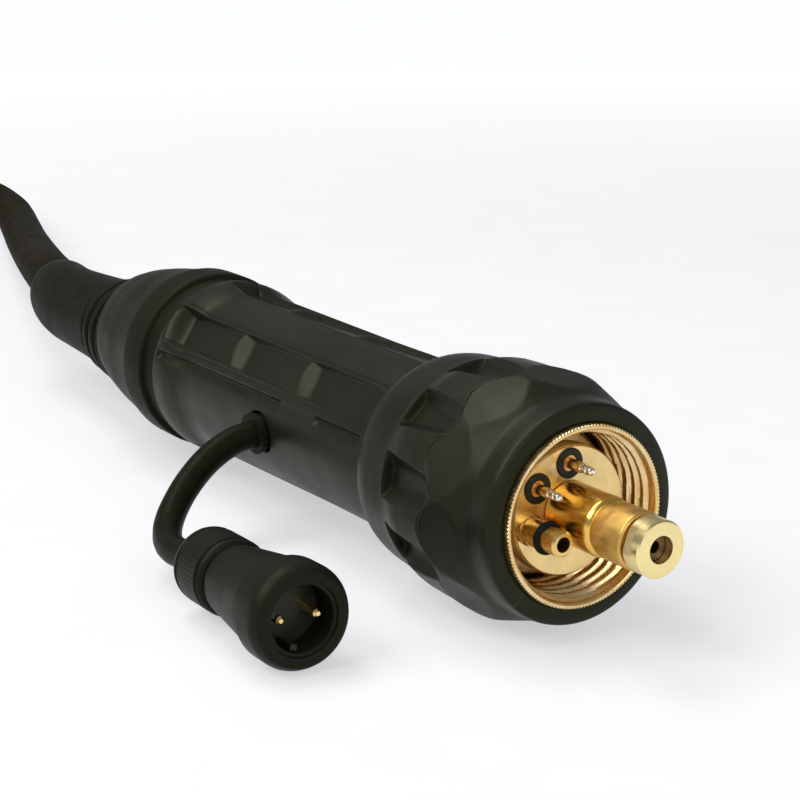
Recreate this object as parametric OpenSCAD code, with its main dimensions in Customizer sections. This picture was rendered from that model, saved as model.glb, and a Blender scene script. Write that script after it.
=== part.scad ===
// MIG welding torch: central connector, cable with coil, swan-neck handle.
// Millimetres. The origin is on the connector's axis, at the front face of the
// coupling nut's brass ring. +X runs towards the pin's tip and +Z is up.
// A clock angle turns about the connector's axis, from +Z towards -Y.

/* [Current pin] */
// Radius of the pin's polished base
pin_base_r = 6.9; // [6.7:0.1:7.3]
// Length of the pin's base, from the plug's disc
pin_base_len = 15.3; // [13:0.1:17]
// Radius of the pin's nose
pin_nose_r = 6.6; // [6:0.1:6.7]
// Length of the pin's nose, with the slot behind it
pin_nose_len = 10.4; // [8:0.1:12]
// Width of the slot between base and nose
pin_slot_w = 0.6; // [0.4:0.1:1.2]
// Radius of the thread that holds the liner nut
pin_thread_r = 4.9; // [4.5:0.1:5.4]
// Length of that thread
pin_thread_len = 2.7; // [2.4:0.1:3.4]
// Radius of the pin's spigot inside the plug body
pin_spigot_r = 5; // [4.6:0.1:5.4]
// Length of the spigot
pin_spigot_len = 22.4; // [16:0.1:26]
// Radius of the bore for the wire liner
wire_bore_r = 2.6; // [2.5:0.05:2.9]

/* [Liner and liner nut] */
// Radius of the liner nut
liner_nut_r = 6.4; // [6:0.1:6.8]
// Length of the liner nut
liner_nut_len = 5.2; // [5:0.1:8]
// Radius of the liner nut's mouth
liner_mouth_r = 3.1; // [3:0.05:3.6]
// Distance across the liner nut's spanner flats
liner_flats_w = 11.2; // [10.8:0.1:12]
// Length of the flats
liner_flats_len = 2.8; // [2:0.1:3.4]
// Gap between the pin's nose and the liner nut
liner_nut_gap = 0.7; // [0.5:0.1:1]
// Radius of the liner
liner_r = 2.3; // [1.9:0.05:2.45]
// Radius of the liner's wire passage
liner_bore_r = 1.4; // [0.8:0.05:1.5]
// Radius of the liner's collar
liner_collar_r = 2.95; // [2.8:0.05:2.95]
// Length of the collar
liner_collar_len = 0.8; // [0.6:0.1:2]

/* [Plug body] */
// Radius of the contact disc
disc_r = 15; // [14.8:0.1:15.6]
// Depth of the disc's face behind the brass ring's front face
disc_depth = 6; // [5:0.1:8]
// Thickness of the disc
disc_t = 4.4; // [3.5:0.1:5]
// Radius of the flange that pulls the plug in
flange_r = 17.8; // [17.4:0.1:18.2]
// Thickness of that flange
flange_t = 5; // [4:0.1:5.2]
// Radius of the groove between disc and flange
neck_r = 14.3; // [14:0.1:14.6]
// Width of that groove
neck_w = 5.6; // [4:0.1:7]
// Radius of the body behind the flange
body_r = 15; // [14.4:0.1:15.4]
// Length of the plug body behind the disc's face
body_len = 74; // [70:0.1:78]
// Radius of the crimp tail
tail_r = 9; // [8:0.1:10]
// Length of the crimp tail
tail_len = 24; // [20:0.5:28]
// Radius of the tail's socket for the conductor
socket_r = 6; // [5:0.1:6.8]

/* [Contacts and gas nipple] */
// Radius of the circle that the contacts stand on
contact_circle_r = 11; // [10.95:0.05:11.1]
// Clock angle of the first contact
contact_1_clock = 1.2; // [-6:0.1:8]
// Clock angle of the second contact
contact_2_clock = 53.4; // [46:0.1:58]
// Clock angle of the gas nipple
nipple_clock = 101.6; // [98:0.1:112]
// Distance of the gas nipple from the connector's axis
nipple_circle_r = 11.35; // [11.3:0.05:11.5]
// Radius of an insulator's head
insulator_r = 3.5; // [3:0.1:3.5]
// Height of that head above the disc
insulator_head_t = 0.5; // [0.4:0.1:1.5]
// Radius of the sleeve inside the disc
insulator_sleeve_r = 2.5; // [2.3:0.1:2.7]
// Length of that sleeve
insulator_len = 19.4; // [16:0.1:22]
// Depth of a contact barrel's mouth in the head
barrel_recess = 0.3; // [0.1:0.1:0.4]
// Radius of a contact barrel
barrel_r = 1.85; // [1.7:0.05:2.2]
// Radius of a spring contact
plunger_r = 1.2; // [1.1:0.05:1.3]
// Radius of a spring contact's tip
plunger_tip_r = 0.9; // [0.7:0.05:1]
// Height of the tip above the disc
plunger_stand = 8.6; // [7:0.1:9]
// Travel of a spring contact
plunger_travel = 2.5; // [1.5:0.1:3]
// Radius of the nipple's base
nipple_base_r = 3.5; // [3.4:0.1:3.6]
// Height of the nipple's base
nipple_base_t = 1.4; // [1:0.1:2]
// Radius of the nipple's stem
nipple_stem_r = 3.2; // [3:0.1:3.3]
// Radius of the nipple's tip
nipple_tip_r = 2.9; // [2.7:0.1:3.2]
// Height of the nipple above the disc
nipple_stand = 12.7; // [11.5:0.1:13.5]
// Radius of the nipple's gas bore
nipple_bore_r = 1.75; // [1.2:0.05:1.8]
// Height of the seal's groove above the disc
seal_stand = 6.3; // [5:0.1:7]
// Thickness of the seal ring
seal_t = 1.6; // [1.4:0.02:1.6]

/* [Coupling nut] */
// Largest radius of the nut
nut_r = 29.3; // [28.8:0.1:30]
// Radius of the nut's front face
nut_front_r = 24.7; // [24:0.1:25.2]
// Radius of the nut's nose behind that face
nut_nose_r = 25.6; // [25.3:0.1:26.2]
// Radius over the grip behind the bell
nut_grip_r = 27; // [26.5:0.1:28]
// Radius at the nut's rear end
nut_rear_r = 21.8; // [21.4:0.1:22.4]
// Length of the nose
nut_nose_len = 6.3; // [5:0.1:8]
// Length of the slope from nose to bell
nut_slope_len = 8; // [6:0.1:10]
// Length of the bell
nut_bell_len = 16; // [13:0.1:18]
// Length of the grip
nut_grip_len = 16; // [14:0.1:18]
// Length of the tail
nut_tail_len = 10; // [8:0.1:13]
// Number of finger pockets
pocket_count = 10; // [8:1:11]
// Clock angle of the first pocket
pocket_clock = 9; // [0:0.5:36]
// Radius of a pocket's floor, from the nut's axis
pocket_floor_r = 23.9; // [23.2:0.1:25]
// Radius of a pocket across its own hollow
pocket_r = 5; // [4:0.1:5.6]
// Length of grip left behind a pocket
pocket_back = 9; // [5:0.1:10]
// Reach of a pocket into the bell
pocket_front = 12.5; // [10:0.1:13]
// Radius of the nut's bearing on the plug body
nut_flange_bore_r = 15.6; // [15.5:0.1:16.2]
// Thickness of the nut's inner flange
nut_flange_t = 5; // [4:0.1:6]
// Radius of the brass ring's rim
ring_rim_r = 21; // [20.8:0.05:21.3]
// Thickness of the rim
ring_rim_t = 1.7; // [1:0.1:2.2]
// Radius of the brass insert in the nut
insert_r = 20.5; // [20.2:0.1:20.6]
// Length of the brass insert
insert_len = 20.6; // [19:0.1:21]
// Radius over the thread's crests
thread_crest_r = 18.6; // [18.3:0.05:19]
// Radius at the thread's roots
thread_root_r = 19.6; // [19.2:0.05:19.9]
// Pitch of the thread
thread_pitch = 3; // [2:0.1:3.4]
// Number of turns
thread_turns = 5; // [3:1:5]

/* [Housing] */
// Radius of the housing at the nut
housing_r = 21.7; // [21.2:0.1:22.3]
// Radius of the housing at its rear flare
housing_rear_r = 22.5; // [22:0.1:23]
// Radius of the flare
flare_r = 24.3; // [23.8:0.1:25]
// Length of the housing's outside
housing_len = 106.7; // [102:0.1:112]
// Length of the flare and dome
flare_len = 16.5; // [14:0.1:19]
// Radius of the cavity
cavity_r = 18; // [17:0.1:18.6]
// Radius of the spigot inside the nut
spigot_r = 18; // [17.4:0.1:18.2]
// Clock angle of the first panel
panel_clock = -10; // [-20:1:0]
// Number of pockets along a panel
pockets_in_panel = 3; // [2:1:3]
// Length of one pocket, with its ramp
panel_pitch = 34; // [30:0.5:34.5]
// Length of a ramp
panel_ramp_len = 6.3; // [4:0.1:9]
// Width of a pocket
panel_w = 11.6; // [9:0.1:13]
// Distance of a pocket's floor from the axis
panel_floor = 20.2; // [19.8:0.1:20.8]
// Radius of a housing screw
screw_r = 2; // [1.5:0.1:2.5]
// Length of a housing screw
screw_len = 9.5; // [8:0.1:11]
// Distance of the housing screws behind the housing's front edge
screw_back = 12; // [8:0.5:16]

/* [Rear ring and boot] */
// Radius of the rear ring's band
band_r = 24.8; // [24.3:0.1:25.4]
// Length of that band
band_len = 10; // [8:0.1:13]
// Radius of the groove in front of the band
groove_r = 23.2; // [22.6:0.1:23.8]
// Width of that groove
groove_w = 4.7; // [3:0.1:6]
// Length of the rear ring
ring_len = 48; // [45:0.5:52]
// Radius of the rear ring's end
ring_end_r = 17.8; // [17.4:0.1:18.6]
// Radius of the rear ring's mouth
ring_mouth_r = 16.7; // [16.5:0.1:17]
// Radius of the cap thread on the housing
cap_thread_r = 20.5; // [20:0.1:21]
// Length of the housing's spigot in the rear ring
cap_thread_len = 11; // [8:0.1:13]
// Radius of the boot inside the ring
boot_neck_r = 14.3; // [13.6:0.1:14.5]
// Radius of the first boot rib
boot_rib_r = 16.9; // [16:0.1:17.5]
// Depth of the boot's grooves
boot_groove = 2.6; // [1.5:0.1:3.2]
// Number of boot ribs
boot_ribs = 3; // [2:1:4]
// Distance between boot ribs
boot_rib_pitch = 6; // [5:0.1:6.5]
// Radius of the boot's body behind the ribs
boot_body_r = 13.4; // [12.5:0.1:14.5]
// Radius of the boot's end
boot_end_r = 10.4; // [9.8:0.1:11]
// Length of the boot outside the ring
boot_len = 75.7; // [70:0.1:82]

/* [Cables] */
// Outer radius of the torch cable
cable_r = 8.25; // [7.8:0.05:8.4]
// Radius of the copper core
core_r = 5.9; // [5.2:0.1:5.95]
// Radius of the crimp ferrule
ferrule_r = 10.6; // [10.2:0.1:12]
// Radius of the coil's outer turn
coil_outer_r = 104; // [102:0.5:108]
// Step between the coil's turns
coil_step = 18.4; // [18:0.1:18.6]
// Height of the coil's second layer above its first
coil_layer = 17.1; // [17:0.05:18]
// Width of a coil tie
tie_w = 16; // [10:0.5:22]
// Thickness of a coil tie
tie_t = 1.2; // [0.8:0.1:1.2]
// Radius of the control lead
lead_r = 3.6; // [3.2:0.05:3.6]
// Distance of the lead's outlet behind the brass ring's front face
lead_back = 107.3; // [100:0.1:114]
// Clock angle of the lead's outlet
lead_clock = 97.5; // [92:0.5:102]
// Radius of the lead's grommet
grommet_r = 5.3; // [5:0.1:6]

/* [Two-pin plug] */
// Radius of the plug's coupling ring
plug_ring_r = 12.1; // [11.6:0.05:12.1]
// Length of the coupling ring
plug_ring_len = 9.3; // [8:0.1:11]
// Radius of the coupling ring's front rim
plug_rim_r = 10.7; // [10.3:0.1:11.2]
// Radius of the plug's inner sleeve
plug_sleeve_r = 9.3; // [9:0.1:9.6]
// Radius of the plug's recess
plug_recess_r = 7.6; // [7.4:0.1:8]
// Depth of the recess
plug_recess_d = 8.5; // [7:0.1:9]
// Radius at the front of the tapered shell
plug_shell_r = 11.1; // [10.6:0.1:11.6]
// Radius at the rear of the tapered shell
plug_waist_r = 8.3; // [7.8:0.1:8.9]
// Length of the tapered shell
plug_shell_len = 23; // [20:0.1:26]
// Radius of the ribbed cap
plug_cap_r = 9.2; // [9:0.1:9.6]
// Length of the cap
plug_cap_len = 17.5; // [15:0.1:20]
// Number of cap grooves
plug_cap_grooves = 3; // [1:1:4]
// Distance between the two pins
plug_pin_pitch = 8.9; // [8:0.1:9.2]
// Radius of a pin
plug_pin_r = 1; // [0.8:0.05:1.2]
// Length of a pin in the recess
plug_pin_len = 6.5; // [5:0.1:7]

/* [Handle] */
// Length of the handle
handle_len = 175; // [168:1:185]
// Thickness of the handle's shells
shell_t = 2.6; // [2:0.1:3]
// Largest half width of the handle
grip_half_w = 18; // [17:0.1:18]
// Largest half height of the handle
grip_half_h = 20.5; // [20:0.1:22]
// Radius of the knuckle behind the handle
knuckle_r = 14; // [13:0.1:15]
// Length of the knuckle
knuckle_len = 14; // [10:0.5:18]
// Length of the cable boot behind the knuckle
sleeve_len = 46; // [40:1:50]
// Radius of that boot's thin end
sleeve_end_r = 10.2; // [9.8:0.1:11]
// Length of the trigger from its pivot
trigger_len = 45; // [43:0.5:46]
// Width of the trigger
trigger_w = 12.4; // [10:0.1:13]
// Distance of the trigger's pivot from the handle's rear end
trigger_x = 103; // [101:0.5:105]
// Depth of the pivot below the handle's axis
trigger_pivot_d = 14; // [13:0.1:14.5]
// Radius of the pivot pin
pivot_r = 1.5; // [1.3:0.05:1.8]
// Distance of the switch's button from the pivot
button_reach = 28; // [26:0.5:30]
// Radius of the switch's button
button_r = 1.4; // [1.2:0.05:1.6]

/* [Neck and nozzle] */
// Radius of the neck's tube
neck_tube_r = 6; // [5.6:0.1:6.2]
// Radius of the neck's bore
neck_bore_r = 3.2; // [2.8:0.1:3.6]
// Radius of the neck's insulating sleeve
neck_sleeve_r = 8.6; // [8.2:0.1:9]
// Radius of the neck's bend
bend_r = 50; // [45:1:60]
// Angle of the neck's bend
bend_deg = 45; // [30:1:50]
// Straight length of neck in front of the handle
neck_straight = 22; // [18:0.5:30]
// Straight length of neck behind the nozzle
nose_straight = 14; // [10:0.5:20]
// Radius of the neck nut
neck_nut_r = 12.4; // [12:0.1:13]
// Length of the neck nut
neck_nut_len = 15; // [12:0.5:17]
// Radius of the nozzle's insulator
nozzle_insulator_r = 9.4; // [9.2:0.1:9.6]
// Length of that insulator
nozzle_insulator_len = 16; // [14:0.5:20]
// Radius of the nozzle
nozzle_r = 12; // [11.6:0.1:12.6]
// Radius of the nozzle's front end
nozzle_front_r = 9.9; // [9.6:0.1:10.6]
// Radius of the nozzle's mouth
nozzle_mouth_r = 8.2; // [7.9:0.1:8.6]
// Length of the nozzle
nozzle_len = 70; // [66:0.5:76]
// Radius of the gas diffuser
diffuser_r = 6.6; // [6.3:0.1:6.9]
// Length of the gas diffuser
diffuser_len = 28; // [24:0.5:31]
// Number of gas holes
gas_holes = 6; // [4:1:8]
// Radius of a gas hole
gas_hole_r = 1; // [0.7:0.1:1.2]
// Radius of the contact tip
tip_r = 4; // [3.5:0.1:4.2]
// Length of the contact tip in front of the diffuser
tip_len = 26; // [23:0.5:28]
// Radius of the wire bore in the contact tip
tip_bore_r = 0.65; // [0.5:0.05:0.8]

/* [Hidden] */
$fn = 48;

// Clearances and small edges
seat_gap = 0.02;      // between pieces that are seated in each other
running_gap = 0.05;   // between a shaft and its bore
moving_gap = 0.3;     // between faces that move past each other
wall = 2.2;           // least plastic wall
edge = 0.8;           // chamfer on turned brass
through = 1;          // how far a cut runs past a face

// Connector stations along X
disc_x = -disc_depth;
flange_front_x = disc_x - disc_t - neck_w;
flange_rear_x = flange_front_x - flange_t;
body_rear_x = disc_x - body_len;
tail_rear_x = body_rear_x - tail_len;
pin_front_x = disc_x + pin_base_len;
nose_front_x = pin_front_x + pin_nose_len;
thread_front_x = nose_front_x + pin_thread_len;
liner_nut_x = nose_front_x + liner_nut_gap;
nut_front_x = -ring_rim_t;
nut_nose_x = nut_front_x - nut_nose_len;
nut_bell_x = nut_nose_x - nut_slope_len;
nut_grip_x = nut_bell_x - nut_bell_len;
nut_tail_x = nut_grip_x - nut_grip_len;
nut_rear_x = nut_tail_x - nut_tail_len;
nut_flange_x = flange_rear_x - 3.1;
housing_front_x = nut_rear_x - moving_gap;
housing_rear_x = housing_front_x - housing_len;
flare_x = housing_rear_x + flare_len;
ring_front_x = housing_rear_x - moving_gap;
ring_rear_x = ring_front_x - ring_len;
cap_thread_x = housing_rear_x - cap_thread_len;
boot_front_x = cap_thread_x - moving_gap;
ring_step_x = boot_front_x - 10;
boot_rear_x = ring_rear_x - boot_len;

nipple_root_r = 2.2;
seal_play = 0.07;
nipple_root_len = 16;
screw_clocks = [200, 320];

// Straight lines beside the plain panel: start and length as shares of the
// panels' length, width of the cut and its depth in the crest
line_runs = [[0, 0.637], [0.8235, 0.1765]];
line_w = 6;
line_d = 0.4;

// One turn of the thread: share of the pitch and radius
thread_form = [
    [0.35, thread_crest_r], [0.6, thread_crest_r], [0.95, thread_root_r]
];

// Boot's stations: x and radius, with one row per corner of each rib
boot_ribs_x = ring_rear_x - 1;
boot_form = concat(
    [
        [boot_front_x, cap_thread_r - moving_gap],
        [ring_step_x + moving_gap, cap_thread_r - moving_gap],
        [ring_step_x + moving_gap - 0.1, boot_neck_r],
        [ring_step_x - 1.5, boot_neck_r],
        [(ring_step_x + ring_rear_x) / 2, boot_neck_r], [boot_ribs_x, boot_neck_r]
    ],
    [for (i = [0:boot_ribs - 1], p = [[0.02, 0], [3.4, 0.1], [4, 1], [5.6, 1.05]])
        [boot_ribs_x - i * boot_rib_pitch - p[0],
         boot_rib_r - 0.7 * i - boot_groove * p[1]]],
    [for (p = [[0, 0.8], [4, 0.3], [12, 0], [24, -0.5], [38, -0.9]])
        [boot_ribs_x - boot_ribs * boot_rib_pitch - p[0], boot_body_r + p[1]]],
    [
        [boot_rear_x + 13, boot_end_r + 1.2], [boot_rear_x + 6, boot_end_r + 0.8],
        [boot_rear_x + 1.5, boot_end_r], [boot_rear_x, boot_end_r - 0.9]
    ]
);

// The surface that the torch lies on, and the cables' resting heights
table_z = -nut_r;
cable_z = table_z + cable_r;
coil_lift = tie_t + moving_gap;

// The boot droops a little as it leaves the ring and turns with the cable
boot_droop = 2;
boot_turn = 5;
boot_turn_len = 27;
boot_rise = 0.95;
boot_end = [boot_rear_x, boot_turn, boot_rise - boot_droop];
boot_end_way = unit([-1, 0.33, 0.03]);

// Route of the torch cable from boot to coil: x, y and the height above
// where the cable rests. Its ends are the boot's end and the coil's start.
cable_route = [
    [-305, 9.5, 19.6], [-325, 15.8, 17.8], [-360, 28, 14], [-395, 40.5, 10.2],
    [-430, 53, 6.8], [-465, 65.5, 4], [-500, 78, 1.9], [-536, 90, 0.6],
    [-573, 98, 0], [-610, 100, 0.2], [-644, 94.5, 0.8], [-673, 84, 1.3]
];
// The coil's centre, the angle where the cable enters and the turns in all
coil_at = [-640, -20];
coil_in_deg = 133;
coil_turns = 4.38;
coil_end_len = 17;
climb_turns = 0.5;
climb_dip = 3;
layer_turns = (coil_turns - climb_turns) / 2;
coil_inner_r = coil_outer_r - coil_step * layer_turns;
coil_rings = 24;
coil_sides = 6;
tie_degs = [30, 212];
// Route from the coil to the handle's boot, as above
tail_route = [[-607, -124, 17.9], [-591.5, -124, 15], [-576, -124, 11.3]];
cable_sides = 12;

// Handle's place: it lies on its side, in line with the coil's last turn
handle_x = -500;
handle_y = coil_at[1] - coil_outer_r;
handle_z = table_z + grip_half_w;
sleeve_rear_x = handle_x - knuckle_len - sleeve_len;

// Sections of the grip: share of its length, half height, half width, sag
grip_form = [
    [0, 0.74, 0.78, 0], [0.08, 0.86, 0.9, 0], [0.25, 0.95, 0.98, 0.8],
    [0.45, 1, 1, 1], [0.65, 0.96, 0.98, 0], [0.82, 0.9, 0.94, -1],
    [0.94, 0.78, 0.84, -1], [1, 0.64, 0.72, 0]
];
grip_rows = smooth(grip_form, 2);
grip_sides = 20;

// Stations in the handle: screws, trigger slot, switch and screw bosses,
// which end inside the shell's wall
screw_spots = [
    [22, 10.8], [handle_len / 2, -11.5], [handle_len / 2, 11.8],
    [handle_len - 17, 11.2]
];
shell_screw_r = 1.25;
shell_screw_len = 18;
shell_head_r = 2.7;
shell_head_t = 2.2;
shell_head_z = grip_half_w - 8.4;
shell_key_r = 1.1;
slot_front = trigger_x + trigger_len + 3;
slot_rear = trigger_x - 6;
switch_bottom = -trigger_pivot_d - 0.3;
boss_half = 12.6;
boss_r = 3.4;

// Stations of the neck in the handle's frame, and of the nozzle in its own
neck_block_x = 92;
neck_start_x = neck_block_x + 24;
cable_stop_x = neck_block_x - 10;
block_waist_x = neck_block_x + 28;
block_front_x = neck_block_x + 44;
block_r = 8;
block_waist_r = 7.4;
bend_swell = 0.08;
bend_x = handle_len + neck_straight;
nozzle_x = nose_straight;
diffuser_x = nozzle_x + 6 + 2 * seat_gap;
tip_x = diffuser_x + diffuser_len;
tip_stub_r = tip_r - 1;
tip_stub_len = 7.5;
tip_taper_len = 7;

// Route of the control lead, from its grommet to the two-pin plug
lead_route = [
    [-107.3, -29, -4.1], [-106.5, -36, -7], [-104.5, -42.5, -11],
    [-101, -48.5, -15.2], [-96, -53.5, -18.5], [-89.5, -57, -20.3],
    [-82, -58.8, -20.4], [-75, -59, -19.5]
];
lead_sides = 10;
grommet_h = 1.2;
lead_out = [-lead_back, 0, 0]
    + (housing_r + wall / 2 + grommet_h) * clock_way(lead_clock);

// Two-pin plug's place: its coupling ring lies on the surface
plug_at = [-17.5, -61, table_z + plug_ring_r + 0.45];
plug_tilt = 2;
plug_yaw = -2.3;
plug_way = unit([cos(plug_yaw), sin(plug_yaw), tan(plug_tilt)]);
plug_front_gap = 0.8;
plug_shell_x = -plug_ring_len - moving_gap;
plug_waist_x = plug_shell_x - plug_shell_len;
plug_rear_x = plug_waist_x - plug_cap_len;
plug_rear = plug_at + plug_rear_x * plug_way;

// ---- Functions ----

function unit(v) = v / norm(v);
function clock_way(angle) = [0, -sin(angle), cos(angle)];
function ease(t) = let (c = max(0, min(1, t))) c * c * (3 - 2 * c);

// Way along a list of points at point i, with the ways of both ends given
function way(points, i, first, last) =
    i == 0 ? first
    : i == len(points) - 1 ? last
    : unit(points[i + 1] - points[i - 1]);

// One ring of a tube, square to the way t, with a vertex straight below
function ring(centre, t, r, sides) =
    let (side = unit(cross([0, 0, 1], t)), up = cross(t, side))
    [for (k = [0:sides - 1])
        centre + r * (sin(k * 360 / sides) * side - cos(k * 360 / sides) * up)];

// Faces of a closed tube with the given number of rings and sides
function tube_faces(rings, sides) = concat(
    [[for (k = [0:sides - 1]) k]],
    [for (i = [0:rings - 2], k = [0:sides - 1])
        [i * sides + k, (i + 1) * sides + (k + 1) % sides,
         i * sides + (k + 1) % sides]],
    [for (i = [0:rings - 2], k = [0:sides - 1])
        [i * sides + k, (i + 1) * sides + k,
         (i + 1) * sides + (k + 1) % sides]],
    [[for (k = [0:sides - 1]) (rings - 1) * sides + sides - 1 - k]]
);

// Catmull-Rom value between four rows of numbers
function blend4(a, b, c, d, t) =
    0.5 * (2 * b + (c - a) * t + (2 * a - 5 * b + 4 * c - d) * t * t
    + (3 * b - a - 3 * c + d) * t * t * t);

// A list of rows with steps rows for each one, on one smooth curve
function smooth(rows, steps) = concat(
    [for (i = [0:len(rows) - 2], s = [0:steps - 1])
        blend4(rows[max(i - 1, 0)], rows[i], rows[i + 1],
               rows[min(i + 2, len(rows) - 1)], s / steps)],
    [rows[len(rows) - 1]]
);

// Length of a list of points
function run(points, i = 0) =
    i >= len(points) - 1 ? 0 : norm(points[i + 1] - points[i]) + run(points, i + 1);

// Centre of the boot and the cable inside it, at station x
function boot_axis(x) =
    let (turn = max(0, (boot_rear_x + boot_turn_len - x) / boot_turn_len),
         droop = ease((ring_step_x - x) / (ring_step_x - ring_rear_x)))
    [x, boot_turn * pow(turn, 2), boot_rise * pow(turn, 2) - boot_droop * droop];

// Radius of the coil's centreline after u turns, and its height
function coil_r(u) =
    u < layer_turns ? coil_outer_r - coil_step * u
    : u < layer_turns + climb_turns
        ? coil_inner_r - climb_dip * sin(180 * (u - layer_turns) / climb_turns)
    : coil_inner_r + coil_step * (u - layer_turns - climb_turns);
function coil_z(u) =
    cable_z + coil_lift + coil_layer * ease((u - layer_turns) / climb_turns);
function coil_point(u) =
    let (a = coil_in_deg + 360 * u)
    [coil_at[0] + coil_r(u) * cos(a), coil_at[1] + coil_r(u) * sin(a), coil_z(u)];
function coil_way(u) =
    let (a = coil_in_deg + 360 * u) [-sin(a), cos(a), 0];

coil_steps = round(coil_turns * coil_rings);
coil_start = coil_point(0) - coil_end_len * coil_way(0);
coil_stop = coil_point(coil_turns) + coil_end_len * coil_way(coil_turns);
coil_path = concat(
    [coil_start],
    [for (i = [0:coil_steps]) coil_point(coil_turns * i / coil_steps)],
    [coil_stop]
);
cable_path = concat(
    [boot_end],
    [for (p = cable_route) [p[0], p[1], cable_z + p[2]]],
    [coil_start]
);
tail_path = concat(
    [coil_stop],
    [for (p = tail_route) [p[0], p[1], cable_z + p[2]]],
    [[sleeve_rear_x, handle_y, handle_z]]
);
lead_path = concat([lead_out], lead_route, [plug_rear]);

// Least gap of the coil to itself, between points half a turn or more apart
coil_gap = min([for (i = [0:len(coil_path) - 1], j = [0:len(coil_path) - 1])
    if (j - i >= coil_rings / 2)
        norm(coil_path[i] - coil_path[j]) - 2 * cable_r]);
echo(coil_gap = coil_gap, coil_across = 2 * (coil_outer_r + cable_r));
echo(cable_length = run(cable_path) + run(coil_path) + run(tail_path),
     lead_length = run(lead_path));

// ---- General modules ----

// A solid turned about the X axis, from points [x, radius]
module turned(points) {
    rotate([0, 90, 0])
        rotate_extrude()
            polygon([for (p = points) [p[1], p[0]]]);
}

// A round bar along X from x0 to x1
module rod(x0, x1, r) {
    translate([x0, 0, 0])
        rotate([0, 90, 0])
            cylinder(h = x1 - x0, r = r);
}

// Places its children at a clock angle and a radius
module on_clock(angle, radius = 0) {
    rotate([angle, 0, 0])
        translate([0, 0, radius])
            children();
}

// Places its children at the contacts' circle
module on_contact(angle) {
    on_clock(angle, contact_circle_r)
        children();
}

module on_nipple() {
    on_clock(nipple_clock, nipple_circle_r)
        children();
}

// A closed tube along points, with one radius or a list of radii
module tube(points, radii, sides, first, last) {
    rings = [for (i = [0:len(points) - 1])
        ring(points[i], way(points, i, first, last),
             is_list(radii) ? radii[i] : radii, sides)];
    polyhedron([for (r = rings) each r], tube_faces(len(points), sides));
}

// ---- Plug body and pins ----

module plug_body() {
    color("#c9962f")
        difference() {
            turned([
                [tail_rear_x, 0], [tail_rear_x, tail_r], [body_rear_x, tail_r],
                [body_rear_x, body_r - edge], [body_rear_x + edge, body_r],
                [flange_rear_x, body_r], [flange_rear_x, flange_r],
                [flange_front_x - edge, flange_r], [flange_front_x, flange_r - edge],
                [flange_front_x, neck_r], [disc_x - disc_t, neck_r],
                [disc_x - disc_t, disc_r], [disc_x - edge / 2, disc_r],
                [disc_x, disc_r - edge / 2], [disc_x, 0]
            ]);
            rod(disc_x - pin_spigot_len, disc_x + through, pin_spigot_r + seat_gap);
            rod(tail_rear_x - through, disc_x, wire_bore_r);
            rod(tail_rear_x - through, tail_rear_x + tail_len - 3, socket_r);
            for (angle = [contact_1_clock, contact_2_clock])
                on_contact(angle)
                    rod(disc_x - insulator_len, disc_x + through,
                        insulator_sleeve_r + seat_gap);
            on_nipple()
                rod(disc_x - nipple_root_len, disc_x + through,
                    nipple_root_r + seat_gap);
            for (angle = screw_clocks)
                on_clock(angle)
                    translate([housing_front_x - screw_back, 0, body_r - 6])
                        cylinder(h = 6 + through, r = screw_r + seat_gap);
        }
}

module power_pin() {
    color("#d8a93c")
        difference() {
            turned([
                [disc_x - pin_spigot_len, 0],
                [disc_x - pin_spigot_len, pin_spigot_r], [disc_x, pin_spigot_r],
                [disc_x, pin_base_r], [pin_front_x - edge, pin_base_r],
                [pin_front_x, pin_base_r - edge],
                [pin_front_x, pin_nose_r - edge],
                [pin_front_x + pin_slot_w, pin_nose_r - edge],
                [pin_front_x + pin_slot_w, pin_nose_r],
                [nose_front_x - edge / 2, pin_nose_r],
                [nose_front_x, pin_nose_r - edge / 2],
                [nose_front_x, pin_thread_r], [thread_front_x, pin_thread_r],
                [thread_front_x, 0]
            ]);
            rod(disc_x - pin_spigot_len - through, thread_front_x + through,
                wire_bore_r);
        }
}

module liner_nut() {
    front = liner_nut_x + liner_nut_len;
    color("#ead39a")
        difference() {
            turned([
                [liner_nut_x, 0], [liner_nut_x, liner_nut_r - edge / 2],
                [liner_nut_x + edge / 2, liner_nut_r],
                [front - edge / 2, liner_nut_r], [front, liner_nut_r - edge / 2],
                [front, 0]
            ]);
            rod(liner_nut_x - through, thread_front_x + moving_gap,
                pin_thread_r + running_gap);
            rod(liner_nut_x, front + through, liner_mouth_r);
            for (side = [0, 180])
                on_clock(70 + side, liner_flats_w / 2)
                    translate([liner_nut_x - through, -liner_nut_r, 0])
                        cube([liner_flats_len + through, 2 * liner_nut_r,
                              liner_nut_r]);
        }
}

module wire_liner() {
    color("#8c6a2c")
        difference() {
            turned([
                [tail_rear_x, 0], [tail_rear_x, liner_r],
                [thread_front_x + seat_gap, liner_r],
                [thread_front_x + seat_gap, liner_collar_r],
                [thread_front_x + liner_collar_len, liner_collar_r],
                [thread_front_x + liner_collar_len, 0]
            ]);
            rod(tail_rear_x - through,
                thread_front_x + liner_collar_len + through, liner_bore_r);
        }
}

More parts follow.
